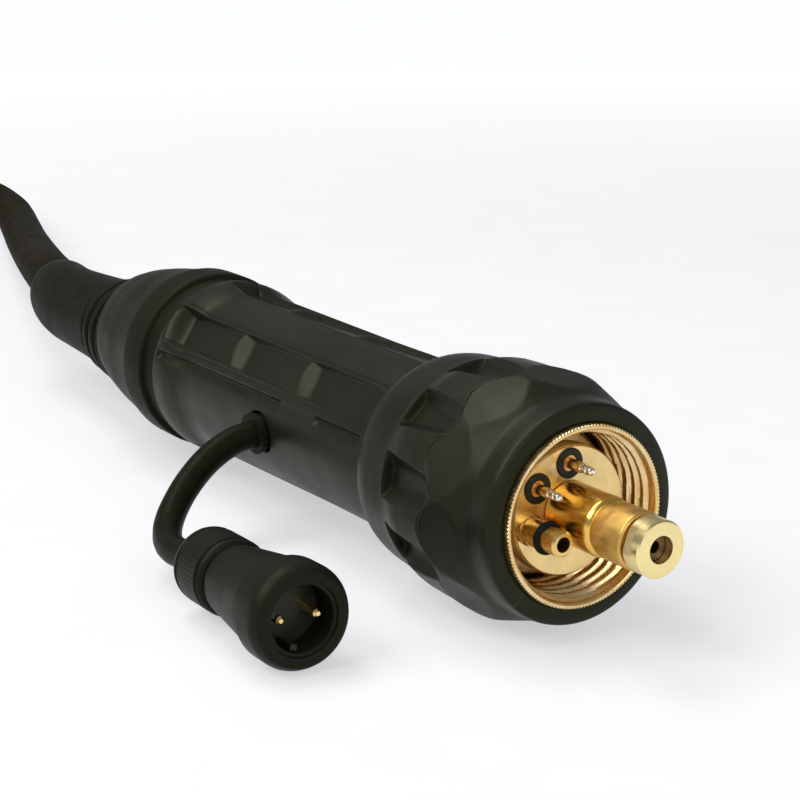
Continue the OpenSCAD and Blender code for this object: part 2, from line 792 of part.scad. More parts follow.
module gas_nipple() {
    groove_x = disc_x + seal_stand;
    groove_end_x = groove_x + seal_t + 2 * seal_play;
    top_x = disc_x + nipple_stand;
    color("#d9ab3e")
        on_nipple()
            difference() {
                turned([
                    [disc_x - nipple_root_len, 0],
                    [disc_x - nipple_root_len, nipple_root_r],
                    [disc_x, nipple_root_r], [disc_x, nipple_base_r],
                    [disc_x + nipple_base_t, nipple_base_r],
                    [disc_x + nipple_base_t + edge / 2, nipple_stem_r],
                    [groove_x, nipple_stem_r], [groove_x, nipple_root_r],
                    [groove_end_x, nipple_root_r], [groove_end_x, nipple_tip_r],
                    [top_x - edge / 2, nipple_tip_r],
                    [top_x, nipple_tip_r - edge / 2], [top_x, 0]
                ]);
                rod(disc_x - nipple_root_len - through, top_x + through,
                    nipple_bore_r);
            }
}

module gas_seal() {
    color("#1c1c1a")
        on_nipple()
            translate([disc_x + seal_stand + seal_t / 2 + seal_play, 0, 0])
                rotate([0, 90, 0])
                    rotate_extrude()
                        translate([nipple_root_r + seal_t / 2 + seat_gap, 0])
                            circle(r = seal_t / 2, $fn = 24);
}

module pin_insulators() {
    color("#262622")
        for (angle = [contact_1_clock, contact_2_clock])
            on_contact(angle)
                difference() {
                    turned([
                        [disc_x - insulator_len, 0],
                        [disc_x - insulator_len, insulator_sleeve_r],
                        [disc_x, insulator_sleeve_r], [disc_x, insulator_r],
                        [disc_x + insulator_head_t / 2, insulator_r],
                        [disc_x + insulator_head_t, insulator_r - insulator_head_t / 2],
                        [disc_x + insulator_head_t, 0]
                    ]);
                    rod(disc_x - insulator_len + through,
                        disc_x + insulator_head_t + through, barrel_r + seat_gap);
                }
}

module contact_barrels() {
    back = disc_x - insulator_len + through + seat_gap;
    color("#b9772f")
        for (angle = [contact_1_clock, contact_2_clock])
            on_contact(angle)
                difference() {
                    rod(back, disc_x + insulator_head_t - barrel_recess, barrel_r);
                    rod(back + 1, disc_x + insulator_head_t,
                        plunger_r + running_gap);
                }
}

module spring_contact(angle) {
    tip_x = disc_x + plunger_stand;
    tail_x = disc_x - insulator_len + through + 1 + plunger_travel + 1.5;
    color("#d9bd76")
        on_contact(angle)
            turned([
                [tail_x, 0], [tail_x, plunger_r], [tip_x - 3.6, plunger_r],
                [tip_x - 3.3, plunger_tip_r], [tip_x - 2, plunger_tip_r],
                [tip_x - 1.8, plunger_tip_r + 0.15],
                [tip_x - 1.3, plunger_tip_r + 0.15],
                [tip_x - 1.1, plunger_tip_r], [tip_x - 0.5, plunger_tip_r],
                [tip_x, plunger_tip_r / 2], [tip_x, 0]
            ]);
}

module contact_plunger_1() {
    spring_contact(contact_1_clock);
}

module contact_plunger_2() {
    spring_contact(contact_2_clock);
}

// ---- Coupling nut ----

module thread_insert() {
    thread_x = -2;
    end_x = thread_x - thread_turns * thread_pitch;
    rear_x = -insert_len;
    color("#d6a63a")
        turned(concat(
            [
                [end_x, thread_root_r], [rear_x, thread_root_r],
                [rear_x, insert_r], [nut_front_x, insert_r],
                [nut_front_x, ring_rim_r], [-edge / 2, ring_rim_r],
                [0, ring_rim_r - edge / 2], [0, thread_root_r + edge / 2],
                [-edge / 2, thread_root_r], [thread_x, thread_root_r]
            ],
            [for (i = [0:thread_turns - 1], p = thread_form)
                [thread_x - (i + p[0]) * thread_pitch, p[1]]]
        ));
}
// The hollow that fingers grip, turned about its own axis
module grip_hollow() {
    back = nut_tail_x + pocket_back;
    front = nut_grip_x + pocket_front;
    translate([0, 0, pocket_floor_r + pocket_r])
        turned([
            [back - edge, 0], [back, pocket_r - edge],
            [back + 2 * edge, pocket_r], [front - pocket_r, pocket_r],
            [front - pocket_r / 2, 0.85 * pocket_r],
            [front - pocket_r / 6, 0.5 * pocket_r], [front, 0]
        ]);
}

// The shallow scoop in front of each rib, on the bell
module bell_scoop() {
    scoop_r = 22;
    translate([0, 0, nut_r + scoop_r - 1.3])
        turned([
            [nut_bell_x - 13, 0], [nut_bell_x - 13, scoop_r - 2.2],
            [nut_bell_x + 9, scoop_r + 1.3], [nut_bell_x + 9, 0]
        ]);
}

module coupling_nut() {
    color("#2b2c28")
        difference() {
            turned([
                [nut_front_x, 0], [nut_front_x, nut_front_r],
                [nut_front_x - 1.8, nut_nose_r - 0.2], [nut_nose_x, nut_nose_r],
                [nut_nose_x - 1.5, nut_nose_r + 0.8],
                [nut_nose_x - 0.62 * nut_slope_len, nut_r - 1.3],
                [nut_bell_x - 1, nut_r], [nut_grip_x, nut_r - 0.1],
                [nut_grip_x - 4, nut_grip_r + 1.4],
                [nut_grip_x - 8, nut_grip_r + 0.3], [nut_tail_x, nut_grip_r - 0.2],
                [nut_tail_x - nut_tail_len / 2, nut_grip_r - 1.4],
                [nut_rear_x, nut_rear_r], [nut_rear_x, 0]
            ]);
            rod(-insert_len - seat_gap, 0, insert_r + seat_gap);
            rod(nut_flange_x, 0, flange_r + 0.7);
            rod(nut_flange_x - nut_flange_t - through, 0, nut_flange_bore_r);
            rod(nut_rear_x - through, nut_flange_x - nut_flange_t,
                spigot_r + moving_gap);
            for (i = [0:pocket_count - 1]) {
                on_clock(pocket_clock + i * 360 / pocket_count)
                    grip_hollow();
                on_clock(pocket_clock + (i + 0.5) * 360 / pocket_count)
                    bell_scoop();
            }
        }
}

// ---- Housing ----

// One panel pocket: a ramp down from the rear, a flat floor, an upright end
module panel_pocket(rear_x) {
    top = flare_r + 2;
    translate([rear_x, panel_w / 2, 0])
        rotate([90, 0, 0])
            linear_extrude(panel_w)
                polygon([
                    [0, top], [0, housing_rear_r + 0.1],
                    [panel_ramp_len, panel_floor],
                    [panel_pitch - 0.6, panel_floor], [panel_pitch - 0.6, top]
                ]);
}

module housing() {
    panels_len = pockets_in_panel * panel_pitch;
    panels_x = housing_front_x - 1.7 - panels_len;
    spigot_front_x = nut_flange_x - nut_flange_t - 2;
    color("#33342f")
        difference() {
            turned([
                [cap_thread_x, 0], [cap_thread_x, cap_thread_r],
                [housing_rear_x, cap_thread_r], [housing_rear_x, groove_r],
                [housing_rear_x + 2, flare_r - 0.3],
                [flare_x - 8.5, flare_r], [flare_x, housing_rear_r],
                [housing_front_x, housing_r], [housing_front_x, spigot_r],
                [spigot_front_x, spigot_r], [spigot_front_x, 0]
            ]);
            rod(body_rear_x - seat_gap, 0, body_r + seat_gap);
            rod(cap_thread_x - through, body_rear_x, cavity_r);
            for (side = [0, 1, 3, 4, 5], i = [0:pockets_in_panel - 1])
                on_clock(panel_clock + 60 * side)
                    panel_pocket(panels_x + i * panel_pitch);
            for (side = [1, 2], run = line_runs)
                on_clock(panel_clock + 60 * side + (side == 1 ? 25.5 : 34.5))
                    translate([panels_x + run[0] * panels_len, -line_w / 2,
                               housing_r - line_d])
                        cube([run[1] * panels_len, line_w, flare_r - housing_r]);
            on_clock(lead_clock)
                translate([-lead_back, 0, 0])
                    cylinder(h = flare_r + through, r = lead_r + 1);
            for (angle = screw_clocks)
                on_clock(angle)
                    translate([housing_front_x - screw_back, 0, 0]) {
                        cylinder(h = flare_r, r = screw_r + running_gap);
                        translate([0, 0, housing_r - 2.6])
                            cylinder(h = 5, r = screw_r + 1.6);
                    }
        }
}

module housing_screws() {
    head_top = housing_r - 0.4;
    color("#4a4a46")
        for (angle = screw_clocks)
            on_clock(angle)
                translate([housing_front_x - screw_back, 0, 0])
                    difference() {
                        union() {
                            translate([0, 0, head_top - screw_len])
                                cylinder(h = screw_len - 1, r = screw_r);
                            translate([0, 0, head_top - 2.2])
                                cylinder(h = 2.2, r = screw_r + 1.4);
                        }
                        translate([0, 0, head_top - 1.4])
                            cylinder(h = 2, r = 1.2, $fn = 6);
                    }
}

module rear_ring() {
    band_x = ring_front_x - groove_w;
    cone_x = band_x - band_len;
    color("#2e2f2b")
        difference() {
            turned([
                [ring_front_x, 0], [ring_front_x, groove_r], [band_x, groove_r],
                [band_x, band_r - 0.4], [band_x - 0.4, band_r], [cone_x, band_r],
                [cone_x - 6, band_r - 1.3], [cone_x - 16, band_r - 2.8],
                [cone_x - 26, band_r - 4.8], [ring_rear_x, ring_end_r],
                [ring_rear_x, 0]
            ]);
            rod(ring_step_x, 0, cap_thread_r + seat_gap);
            rod(ring_rear_x - through, 0, ring_mouth_r);
        }
}

// ---- Cable boot and cable end ----

module cable_boot() {
    outer = [for (p = boot_form) boot_axis(p[0])];
    bore_x = concat(
        [boot_front_x + through],
        [for (x = [ring_step_x, ring_rear_x + 12, ring_rear_x, ring_rear_x - 24]) x],
        [for (d = [28, 20, 12, 6]) boot_rear_x + d]
    );
    color("#252623")
        difference() {
            tube(outer, [for (p = boot_form) p[1]], 24, [-1, 0, 0], boot_end_way);
            tube(concat([for (x = bore_x) boot_axis(x)],
                        [boot_end, boot_end + through * boot_end_way]),
                 cable_r + moving_gap, 24, [-1, 0, 0], boot_end_way);
        }
}

module cable_end() {
    start_x = tail_rear_x - 12;
    stations = [start_x, cap_thread_x, ring_step_x, ring_rear_x + 12,
                ring_rear_x, ring_rear_x - 24];
    color("#1f201d")
        tube(concat([for (x = stations) boot_axis(x)],
                    [for (d = [28, 20, 12, 6]) boot_axis(boot_rear_x + d)],
                    [boot_end]),
             cable_r, cable_sides, [-1, 0, 0], boot_end_way);
}

module cable_core() {
    color("#b5673a")
        difference() {
            rod(tail_rear_x - 11.5, tail_rear_x + tail_len - 4, core_r);
            rod(tail_rear_x - 12, tail_rear_x + tail_len, wire_bore_r);
        }
}

module cable_ferrule() {
    color("#a8843a")
        difference() {
            rod(tail_rear_x - 30, tail_rear_x + tail_len - 2, ferrule_r);
            rod(tail_rear_x - 30 - through, tail_rear_x - 11,
                cable_r + seat_gap);
            rod(tail_rear_x - 12, tail_rear_x + tail_len, tail_r + seat_gap);
        }
}

// ---- Control lead and its plug ----

module lead_grommet() {
    base = housing_r + wall / 2;
    color("#1e1f1c")
        on_clock(lead_clock)
            translate([-lead_back, 0, 0])
                difference() {
                    union() {
                        translate([0, 0, cavity_r - 1])
                            cylinder(h = base - cavity_r + 1.5,
                                     r = lead_r + 1 - seat_gap);
                        translate([0, 0, base - 0.4])
                            cylinder(h = grommet_h + 0.4, r = grommet_r);
                    }
                    translate([0, 0, cavity_r - 1 - through])
                        cylinder(h = 5, r = lead_r - 1);
                }
}

module control_lead() {
    color("#232420")
        tube(lead_path, lead_r, lead_sides, clock_way(lead_clock), plug_way);
}

// Places its children in the plug's frame: front face at x = 0
module in_plug() {
    translate(plug_at)
        rotate([0, -plug_tilt, plug_yaw])
            children();
}

module plug_cap() {
    pitch = plug_cap_len / (plug_cap_grooves + 2);
    color("#22231f")
        in_plug()
            turned(concat(
                [
                    [plug_rear_x, 0], [plug_rear_x, plug_cap_r - 3.6],
                    [plug_rear_x + 1, plug_cap_r - 1.6],
                    [plug_rear_x + 3, plug_cap_r - 0.4]
                ],
                [for (i = [0:plug_cap_grooves - 1],
                      p = [[1.2, 0], [1.5, -0.9], [2.1, -0.9], [2.4, 0]])
                    [plug_rear_x + (i + 0.7) * pitch + p[0], plug_cap_r + p[1]]],
                [
                    [plug_waist_x - 1.2, plug_cap_r],
                    [plug_waist_x - 0.4, plug_cap_r - 0.8],
                    [plug_waist_x - 0.4, 0]
                ]
            ));
}

module plug_shell() {
    color("#2a2b27")
        in_plug()
            difference() {
                turned([
                    [plug_waist_x - 0.4 + seat_gap, 0],
                    [plug_waist_x - 0.4 + seat_gap, plug_waist_r - 0.6],
                    [plug_waist_x + 0.6, plug_waist_r],
                    [plug_shell_x - 3, plug_shell_r - 0.3],
                    [plug_shell_x - 1, plug_shell_r],
                    [plug_shell_x, plug_shell_r - 0.4],
                    [plug_shell_x, plug_sleeve_r],
                    [-plug_front_gap, plug_sleeve_r], [-plug_front_gap, 0]
                ]);
                rod(-plug_recess_d - 8, 0, plug_recess_r);
            }
}

module plug_ring() {
    color("#2d2e2a")
        in_plug()
            difference() {
                turned([
                    [-plug_ring_len, 0], [-plug_ring_len, plug_ring_r - 0.5],
                    [-plug_ring_len + 0.5, plug_ring_r], [-2, plug_ring_r],
                    [-0.4, plug_rim_r + 0.2], [0, plug_rim_r - 0.3], [0, 0]
                ]);
                rod(-plug_ring_len - through, -plug_front_gap + 0.3,
                    plug_sleeve_r + running_gap);
                rod(-2, through, plug_recess_r + 0.5);
            }
}

module plug_insert() {
    key_w = 1.6;
    color("#1b1b19")
        in_plug()
            difference() {
                union() {
                    rod(-plug_recess_d - 7, -plug_recess_d,
                        plug_recess_r - seat_gap);
                    for (angle = [75, 165])
                        on_clock(angle, plug_recess_r - key_w)
                            translate([-plug_recess_d - 1, -key_w / 2, 0])
                                cube([plug_recess_d - 1, key_w, key_w - 0.3]);
                }
                for (side = [-1, 1])
                    translate([0, side * plug_pin_pitch / 2, 0])
                        rod(-plug_recess_d - 8, 0, plug_pin_r + seat_gap);
            }
}

module plug_pins() {
    front = plug_pin_len - plug_recess_d;
    color("#d8b25a")
        in_plug()
            for (side = [-1, 1])
                translate([0, side * plug_pin_pitch / 2, 0])
                    turned([
                        [-plug_recess_d - 6.5, 0],
                        [-plug_recess_d - 6.5, plug_pin_r],
                        [front - plug_pin_r / 2, plug_pin_r],
                        [front, plug_pin_r / 2], [front, 0]
                    ]);
}

// ---- Torch cable ----

module main_cable() {
    color("#1f201d")
        tube(cable_path, cable_r, cable_sides, boot_end_way, coil_way(0));
}

module cable_coil() {
    color("#1f201d")
        tube(coil_path, cable_r, coil_sides, coil_way(0), coil_way(coil_turns));
}

module cable_tail() {
    color("#1f201d")
        tube(tail_path, cable_r, cable_sides, coil_way(coil_turns), [1, 0, 0]);
}

// Outline of a tie, grown by a margin, with rounded corners
module tie_outline(margin) {
    corner = 5;
    low_r = coil_inner_r - climb_dip - cable_r - margin + corner;
    high_r = coil_outer_r + cable_r + margin - corner;
    low_z = table_z + coil_lift - margin + corner;
    high_z = table_z + coil_lift + coil_layer + 2 * cable_r + margin - corner;
    hull()
        for (x = [low_r, high_r], z = [low_z, high_z])
            translate([x, z])
                circle(r = corner, $fn = 24);
}

module coil_ties() {
    color("#30312d")
        for (angle = tie_degs)
            translate([coil_at[0], coil_at[1], 0])
                rotate([90, 0, angle])
                    linear_extrude(tie_w, center = true)
                        difference() {
                            tie_outline(coil_lift);
                            tie_outline(moving_gap);
                        }
}

// ---- Handle ----

// Places its children in the handle's frame: +X towards the neck, the
// trigger's side is -Y, and the shells part in the plane z = 0
module in_handle() {
    translate([handle_x, handle_y, handle_z])
        children();
}

// Half of a value's sign times its power, which squares off an ellipse
function squared(v) = sign(v) * pow(abs(v), 0.8);

// The grip's closed solid, thinned by inset
module grip(inset) {
    rings = [for (row = grip_rows) [for (k = [0:grip_sides - 1])
        [inset + row[0] * (handle_len - 2 * inset),
         row[3] + (row[1] * grip_half_h - inset) * squared(sin(k * 360 / grip_sides)),
         (row[2] * grip_half_w - inset) * squared(-cos(k * 360 / grip_sides))]]];
    polyhedron([for (r = rings) each r], tube_faces(len(rings), grip_sides));
}

module grip_shell(side) {
    difference() {
        union() {
            difference() {
                grip(0);
                grip(shell_t);
            }
            intersection() {
                grip(seat_gap);
                for (spot = screw_spots)
                    translate([spot[0], spot[1], -boss_half])
                        cylinder(h = 2 * boss_half, r = boss_r, $fn = 12);
            }
            for (z = [-trigger_w / 2 - 3.4, trigger_w / 2 + 0.4])
                translate([trigger_x - 4, -trigger_pivot_d - 3, z])
                    cube([8, 6, 3]);
        }
        translate([-1, -2 * grip_half_h, side > 0 ? -40 : 0])
            cube([handle_len + 2, 4 * grip_half_h, 40]);
        rod(-through, cable_stop_x, cable_r + moving_gap, $fn = 24);
        rod(block_front_x, handle_len + through,
            neck_sleeve_r + moving_gap, $fn = 24);
        translate([slot_rear, -2 * grip_half_h, -trigger_w / 2 - 0.35])
            cube([slot_front - slot_rear, 2 * grip_half_h - 8, trigger_w + 0.7]);
        translate([trigger_x, -trigger_pivot_d, -trigger_w / 2 - 2.5])
            cylinder(h = trigger_w + 5, r = pivot_r + seat_gap, $fn = 16);
        for (spot = screw_spots)
            translate([spot[0], spot[1], shell_head_z - 0.1]) {
                translate([0, 0, -shell_screw_len])
                    cylinder(h = 2 * shell_screw_len, r = shell_screw_r + seat_gap + 0.03,
                             $fn = 12);
                cylinder(h = shell_screw_len, r = shell_head_r + 0.2, $fn = 12);
            }
    }
}

module handle_upper() {
    color("#2c2d2a")
        in_handle()
            grip_shell(1);
}

module handle_lower() {
    color("#2c2d2a")
        in_handle()
            grip_shell(-1);
}

module handle_screws() {
    color("#8d8f8c")
        in_handle()
            for (spot = screw_spots)
                translate([spot[0], spot[1], 0])
                    difference() {
                        union() {
                            translate([0, 0, shell_head_z + 1.4 - shell_screw_len])
                                cylinder(h = shell_screw_len, r = shell_screw_r);
                            translate([0, 0, shell_head_z])
                                cylinder(h = shell_head_t, r = shell_head_r);
                        }
                        translate([0, 0, shell_head_z + shell_head_t / 2])
                            cylinder(h = shell_head_t, r = shell_key_r, $fn = 6);
                    }
}

module trigger() {
    inner = -trigger_pivot_d - 3.1;
    color("#3a3b37")
        in_handle()
            difference() {
                union() {
                    translate([0, 0, -trigger_w / 2])
                        linear_extrude(trigger_w)
                            polygon([
                                [trigger_x - 3, inner + 1],
                                [trigger_x + 3, inner], [slot_front - 5.5, inner],
                                [slot_front - 4, inner - 1.5],
                                [slot_front - 5, inner - 5.5],
                                [slot_front - 8, inner - 7.6],
                                [trigger_x + 26, inner - 6.4],
                                [trigger_x + 14, inner - 6.6],
                                [trigger_x + 4, inner - 5.4],
                                [trigger_x - 3, inner - 3.4]
                            ]);
                    translate([trigger_x, -trigger_pivot_d, -trigger_w / 2])
                        cylinder(h = trigger_w, r = pivot_r + 1.7);
                    translate([trigger_x - 3, inner - 2, -trigger_w / 2])
                        cube([6, 4, trigger_w]);
                }
                translate([trigger_x, -trigger_pivot_d, -trigger_w])
                    cylinder(h = 2 * trigger_w, r = pivot_r + running_gap);
            }
}

module trigger_pivot() {
    color("#9c9e9c")
        in_handle()
            translate([trigger_x, -trigger_pivot_d, -trigger_w / 2 - 2.4])
                cylinder(h = trigger_w + 4.8, r = pivot_r);
}

module switch_body() {
    depth = 5.4;
    color("#191918")
        in_handle()
            difference() {
                translate([trigger_x + button_reach - 13, switch_bottom, -3.2])
                    cube([19.5, depth, 6.4]);
                translate([trigger_x + button_reach, switch_bottom - through, 0])
                    rotate([-90, 0, 0])
                        cylinder(h = 4.4 + through, r = button_r + running_gap);
            }
}

module switch_button() {
    color("#9b2f24")
        in_handle()
            translate([trigger_x + button_reach, switch_bottom - 2.5, 0])
                rotate([-90, 0, 0])
                    cylinder(h = 4.4, r = button_r);
}

module rear_knuckle() {
    color("#242521")
        in_handle()
            difference() {
                turned([
                    [-knuckle_len, 0], [-knuckle_len, knuckle_r - 2],
                    [-knuckle_len + 2, knuckle_r], [-4, knuckle_r],
                    [-1, knuckle_r - 1], [-seat_gap, knuckle_r - 2],
                    [-seat_gap, 0]
                ]);
                rod(-knuckle_len - through, through, cable_r + moving_gap);
            }
}

module handle_boot() {
    pitch = (sleeve_len - 8) / 6;
    slope = (knuckle_r - 1 - sleeve_end_r) / sleeve_len;
    tail = -knuckle_len - sleeve_len;
    color("#20211e")
        in_handle()
            difference() {
                turned(concat(
                    [[tail, 0], [tail, sleeve_end_r - 0.6],
                     [tail + 1, sleeve_end_r]],
                    [for (i = [0:5], p = [[3, 0], [3.4, -1], [5.4, -1], [5.8, 0]])
                        [tail + i * pitch + p[0],
                         sleeve_end_r + slope * i * pitch + p[1]]],
                    [[-knuckle_len - 2, knuckle_r - 1.6],
                     [-knuckle_len - seat_gap, knuckle_r - 2.2],
                     [-knuckle_len - seat_gap, 0]]
                ));
                rod(tail - through, 0, cable_r + moving_gap);
            }
}

module handle_cable_end() {
    color("#1f201d")
        in_handle()
            rod(-knuckle_len - sleeve_len, cable_stop_x, cable_r);
}

module neck_block() {
    color("#b98f3a")
        in_handle()
            difference() {
                turned([
                    [cable_stop_x + seat_gap, 0],
                    [cable_stop_x + seat_gap, block_r], [neck_block_x, block_r],
                    [neck_block_x, block_waist_r], [block_waist_x, block_waist_r],
                    [block_waist_x, block_r + 0.2], [block_front_x, block_r + 0.2],
                    [block_front_x, 0]
                ]);
                rod(cable_stop_x - through, block_front_x + through,
                    liner_r + running_gap);
                rod(neck_start_x - 2, block_front_x + through,
                    neck_tube_r + seat_gap);
            }
}

// Places its children at the end of the bend, +X along the nozzle
module in_nose() {
    in_handle()
        translate([bend_x, -bend_r, 0])
            rotate([0, 0, -bend_deg])
                translate([0, bend_r, 0])
                    children();
}

// A straight pipe along X
module pipe(start, finish, outer_r, inner_r) {
    difference() {
        rod(start, finish, outer_r);
        rod(start - through, finish + through, inner_r);
    }
}

// A pipe that follows the neck: straight, a bend that is a little wider,
// and straight again
module neck_pipe(start, finish, outer_r, inner_r) {
    in_handle() {
        pipe(start, bend_x, outer_r, inner_r);
        translate([bend_x, -bend_r, 0])
            rotate([0, 0, 90 - bend_deg])
                rotate_extrude(angle = bend_deg)
                    translate([bend_r, 0])
                        difference() {
                            circle(r = outer_r + bend_swell);
                            circle(r = inner_r + bend_swell);
                        }
    }
    in_nose()
        pipe(0, finish, outer_r, inner_r);
}

module neck_tube() {
    color("#b06a3c")
        neck_pipe(neck_start_x, nozzle_x + 6, neck_tube_r, neck_bore_r);
}

module neck_sleeve() {
    color("#262724")
        neck_pipe(block_front_x + 1, nose_straight - 2, neck_sleeve_r,
                  neck_tube_r + seat_gap);
}

module neck_nut() {
    x0 = handle_len + seat_gap;
    color("#1f201d")
        in_handle()
            difference() {
                turned([
                    [x0, 0], [x0, neck_nut_r - 0.6], [x0 + 1, neck_nut_r],
                    [x0 + neck_nut_len - 4, neck_nut_r - 0.8],
                    [x0 + neck_nut_len, neck_nut_r - 2.6],
                    [x0 + neck_nut_len, 0]
                ]);
                rod(x0 - through, x0 + neck_nut_len + through,
                    neck_sleeve_r + seat_gap);
            }
}

module nozzle_insulator() {
    x0 = nose_straight - 2 + seat_gap;
    color("#c9bfa6")
        in_nose()
            difference() {
                turned([
                    [x0, 0], [x0, nozzle_insulator_r - 0.5],
                    [x0 + 0.5, nozzle_insulator_r],
                    [x0 + nozzle_insulator_len, nozzle_insulator_r],
                    [x0 + nozzle_insulator_len, 0]
                ]);
                rod(x0 - through, nozzle_x + 6 + seat_gap,
                    neck_tube_r + seat_gap);
                rod(nozzle_x, x0 + nozzle_insulator_len + through,
                    diffuser_r + seat_gap);
            }
}

module gas_diffuser() {
    color("#c08a3e")
        in_nose()
            difference() {
                turned([
                    [diffuser_x, 0], [diffuser_x, diffuser_r],
                    [tip_x - 3, diffuser_r], [tip_x, diffuser_r - 1.4],
                    [tip_x, 0]
                ]);
                rod(diffuser_x - through, tip_x + through, tip_stub_r + seat_gap);
                for (i = [0:gas_holes - 1])
                    on_clock(i * 360 / gas_holes)
                        translate([tip_x - 11, 0, 0])
                            cylinder(h = diffuser_r + through, r = gas_hole_r);
            }
}

module contact_tip() {
    color("#b5633a")
        in_nose()
            difference() {
                turned([
                    [tip_x - tip_stub_len, 0], [tip_x - tip_stub_len, tip_stub_r],
                    [tip_x + seat_gap, tip_stub_r], [tip_x + seat_gap, tip_r],
                    [tip_x + tip_len - tip_taper_len, tip_r],
                    [tip_x + tip_len, tip_r - 1.3], [tip_x + tip_len, 0]
                ]);
                rod(tip_x - tip_stub_len - through, tip_x + tip_len + through,
                    tip_bore_r);
            }
}

module gas_nozzle() {
    x0 = nozzle_x + 0.5;
    x1 = x0 + nozzle_len;
    color("#c4c2bb")
        in_nose()
            difference() {
                turned([
                    [x0, 0], [x0, nozzle_r - 0.5], [x0 + 0.5, nozzle_r],
                    [x0 + 0.62 * nozzle_len, nozzle_r],
                    [x0 + 0.78 * nozzle_len, nozzle_front_r + 0.5],
                    [x1 - 0.4, nozzle_front_r], [x1, nozzle_front_r - 0.4],
                    [x1, 0]
                ]);
                turned([
                    [x0 - through, 0],
                    [x0 - through, nozzle_insulator_r + running_gap],
                    [x0 + 0.6 * nozzle_len, nozzle_insulator_r + running_gap],
                    [x0 + 0.78 * nozzle_len, nozzle_mouth_r],
                    [x1 + through, nozzle_mouth_r], [x1 + through, 0]
                ]);
            }
}

plug_body();
power_pin();
liner_nut();
wire_liner();
gas_nipple();
gas_seal();
pin_insulators();
contact_barrels();
contact_plunger_1();
contact_plunger_2();
thread_insert();
coupling_nut();
housing();
housing_screws();
rear_ring();
cable_boot();
cable_ferrule();
cable_end();
cable_core();
lead_grommet();
control_lead();
plug_cap();
plug_shell();
plug_ring();
plug_insert();
plug_pins();
main_cable();
cable_coil();
cable_tail();
coil_ties();
handle_upper();
handle_lower();
handle_screws();
trigger();
trigger_pivot();
switch_body();
switch_button();
rear_knuckle();
handle_boot();
handle_cable_end();
neck_block();
neck_tube();
neck_sleeve();
neck_nut();
nozzle_insulator();
gas_diffuser();
contact_tip();
gas_nozzle();
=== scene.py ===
import math

import bmesh
import bpy
import numpy as np
from mathutils import Matrix, Vector


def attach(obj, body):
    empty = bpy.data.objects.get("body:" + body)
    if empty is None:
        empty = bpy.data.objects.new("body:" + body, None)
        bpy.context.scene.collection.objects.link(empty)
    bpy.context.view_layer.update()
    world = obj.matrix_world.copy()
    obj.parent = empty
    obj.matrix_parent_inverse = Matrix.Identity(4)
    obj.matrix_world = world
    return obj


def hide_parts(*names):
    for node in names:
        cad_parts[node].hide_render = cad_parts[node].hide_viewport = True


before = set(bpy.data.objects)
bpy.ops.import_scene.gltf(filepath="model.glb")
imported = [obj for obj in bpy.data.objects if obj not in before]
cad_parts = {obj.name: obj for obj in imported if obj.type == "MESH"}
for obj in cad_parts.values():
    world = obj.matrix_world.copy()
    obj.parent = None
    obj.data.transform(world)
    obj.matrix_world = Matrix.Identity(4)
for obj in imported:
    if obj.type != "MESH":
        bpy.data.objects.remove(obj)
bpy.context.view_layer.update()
scene = bpy.context.scene
MM = 0.001


def add_object(name, data):
    item = bpy.data.objects.new(name, data)
    scene.collection.objects.link(item)
    return item


def shift(point):
    """The move to a point given in millimetres."""
    return Matrix.Translation(Vector(point) * MM)


def axes_turn(x, y, z):
    """The turn that lays the axes along the ways x, y and z."""
    return Matrix((x, y, z)).transposed().to_4x4()


# ---- Camera: where the photograph was taken from ----

CAMERA_AT = (344.09, -269.69, 143.05)
CAMERA_RIGHT = (0.5413, 0.8408, 0)
CAMERA_FORWARD = (-0.8122, 0.5229, -0.2585)
LENS, SENSOR_WIDTH = 94.5, 36


def make_camera():
    data = bpy.data.cameras.new("camera")
    data.sensor_width = SENSOR_WIDTH
    data.lens = LENS
    data.clip_start, data.clip_end = 0.01, 20
    forward = Vector(CAMERA_FORWARD).normalized()
    up = Vector(CAMERA_RIGHT).normalized().cross(forward).normalized()
    right = forward.cross(up)
    scene.camera = add_object("camera", data)
    scene.camera.matrix_world = shift(CAMERA_AT) @ axes_turn(right, up, -forward)


make_camera()


# ---- Materials ----

MATERIALS = {}


class Nodes:
    """Adds and links the nodes of a material or a world."""

    def __init__(self, owner):
        owner.use_nodes = True
        self.tree = owner.node_tree
        self.tree.nodes.clear()

    def add(self, kind, **settings):
        node = self.tree.nodes.new(kind)
        for key, value in settings.items():
            setattr(node, key, value)
        return node

    def link(self, source, target):
        self.tree.links.new(source, target)

    def put(self, socket, value):
        if isinstance(value, bpy.types.NodeSocket):
            self.link(value, socket)
        else:
            socket.default_value = value

    def math(self, operation, a, b, clamp=False):
        node = self.add("ShaderNodeMath", operation=operation, use_clamp=clamp)
        self.put(node.inputs[0], a)
        self.put(node.inputs[1], b)
        return node.outputs[0]

    def split(self, vector):
        node = self.add("ShaderNodeSeparateXYZ")
        self.link(vector, node.inputs[0])
        return node.outputs

    def ramp(self, factor, stops):
        node = self.add("ShaderNodeValToRGB")
        self.link(factor, node.inputs[0])
        for element, (place, colour) in zip(node.color_ramp.elements, stops):
            element.position = place
            element.color = (*colour, 1)
        return node.outputs[0]

    def seen(self):
        """1 for the rays that show the studio: camera, glossy and transmission."""
        path = self.add("ShaderNodeLightPath")
        total = path.outputs["Is Camera Ray"]
        for name in ("Is Glossy Ray", "Is Transmission Ray"):
            total = self.math("MAXIMUM", total, path.outputs[name])
        return total


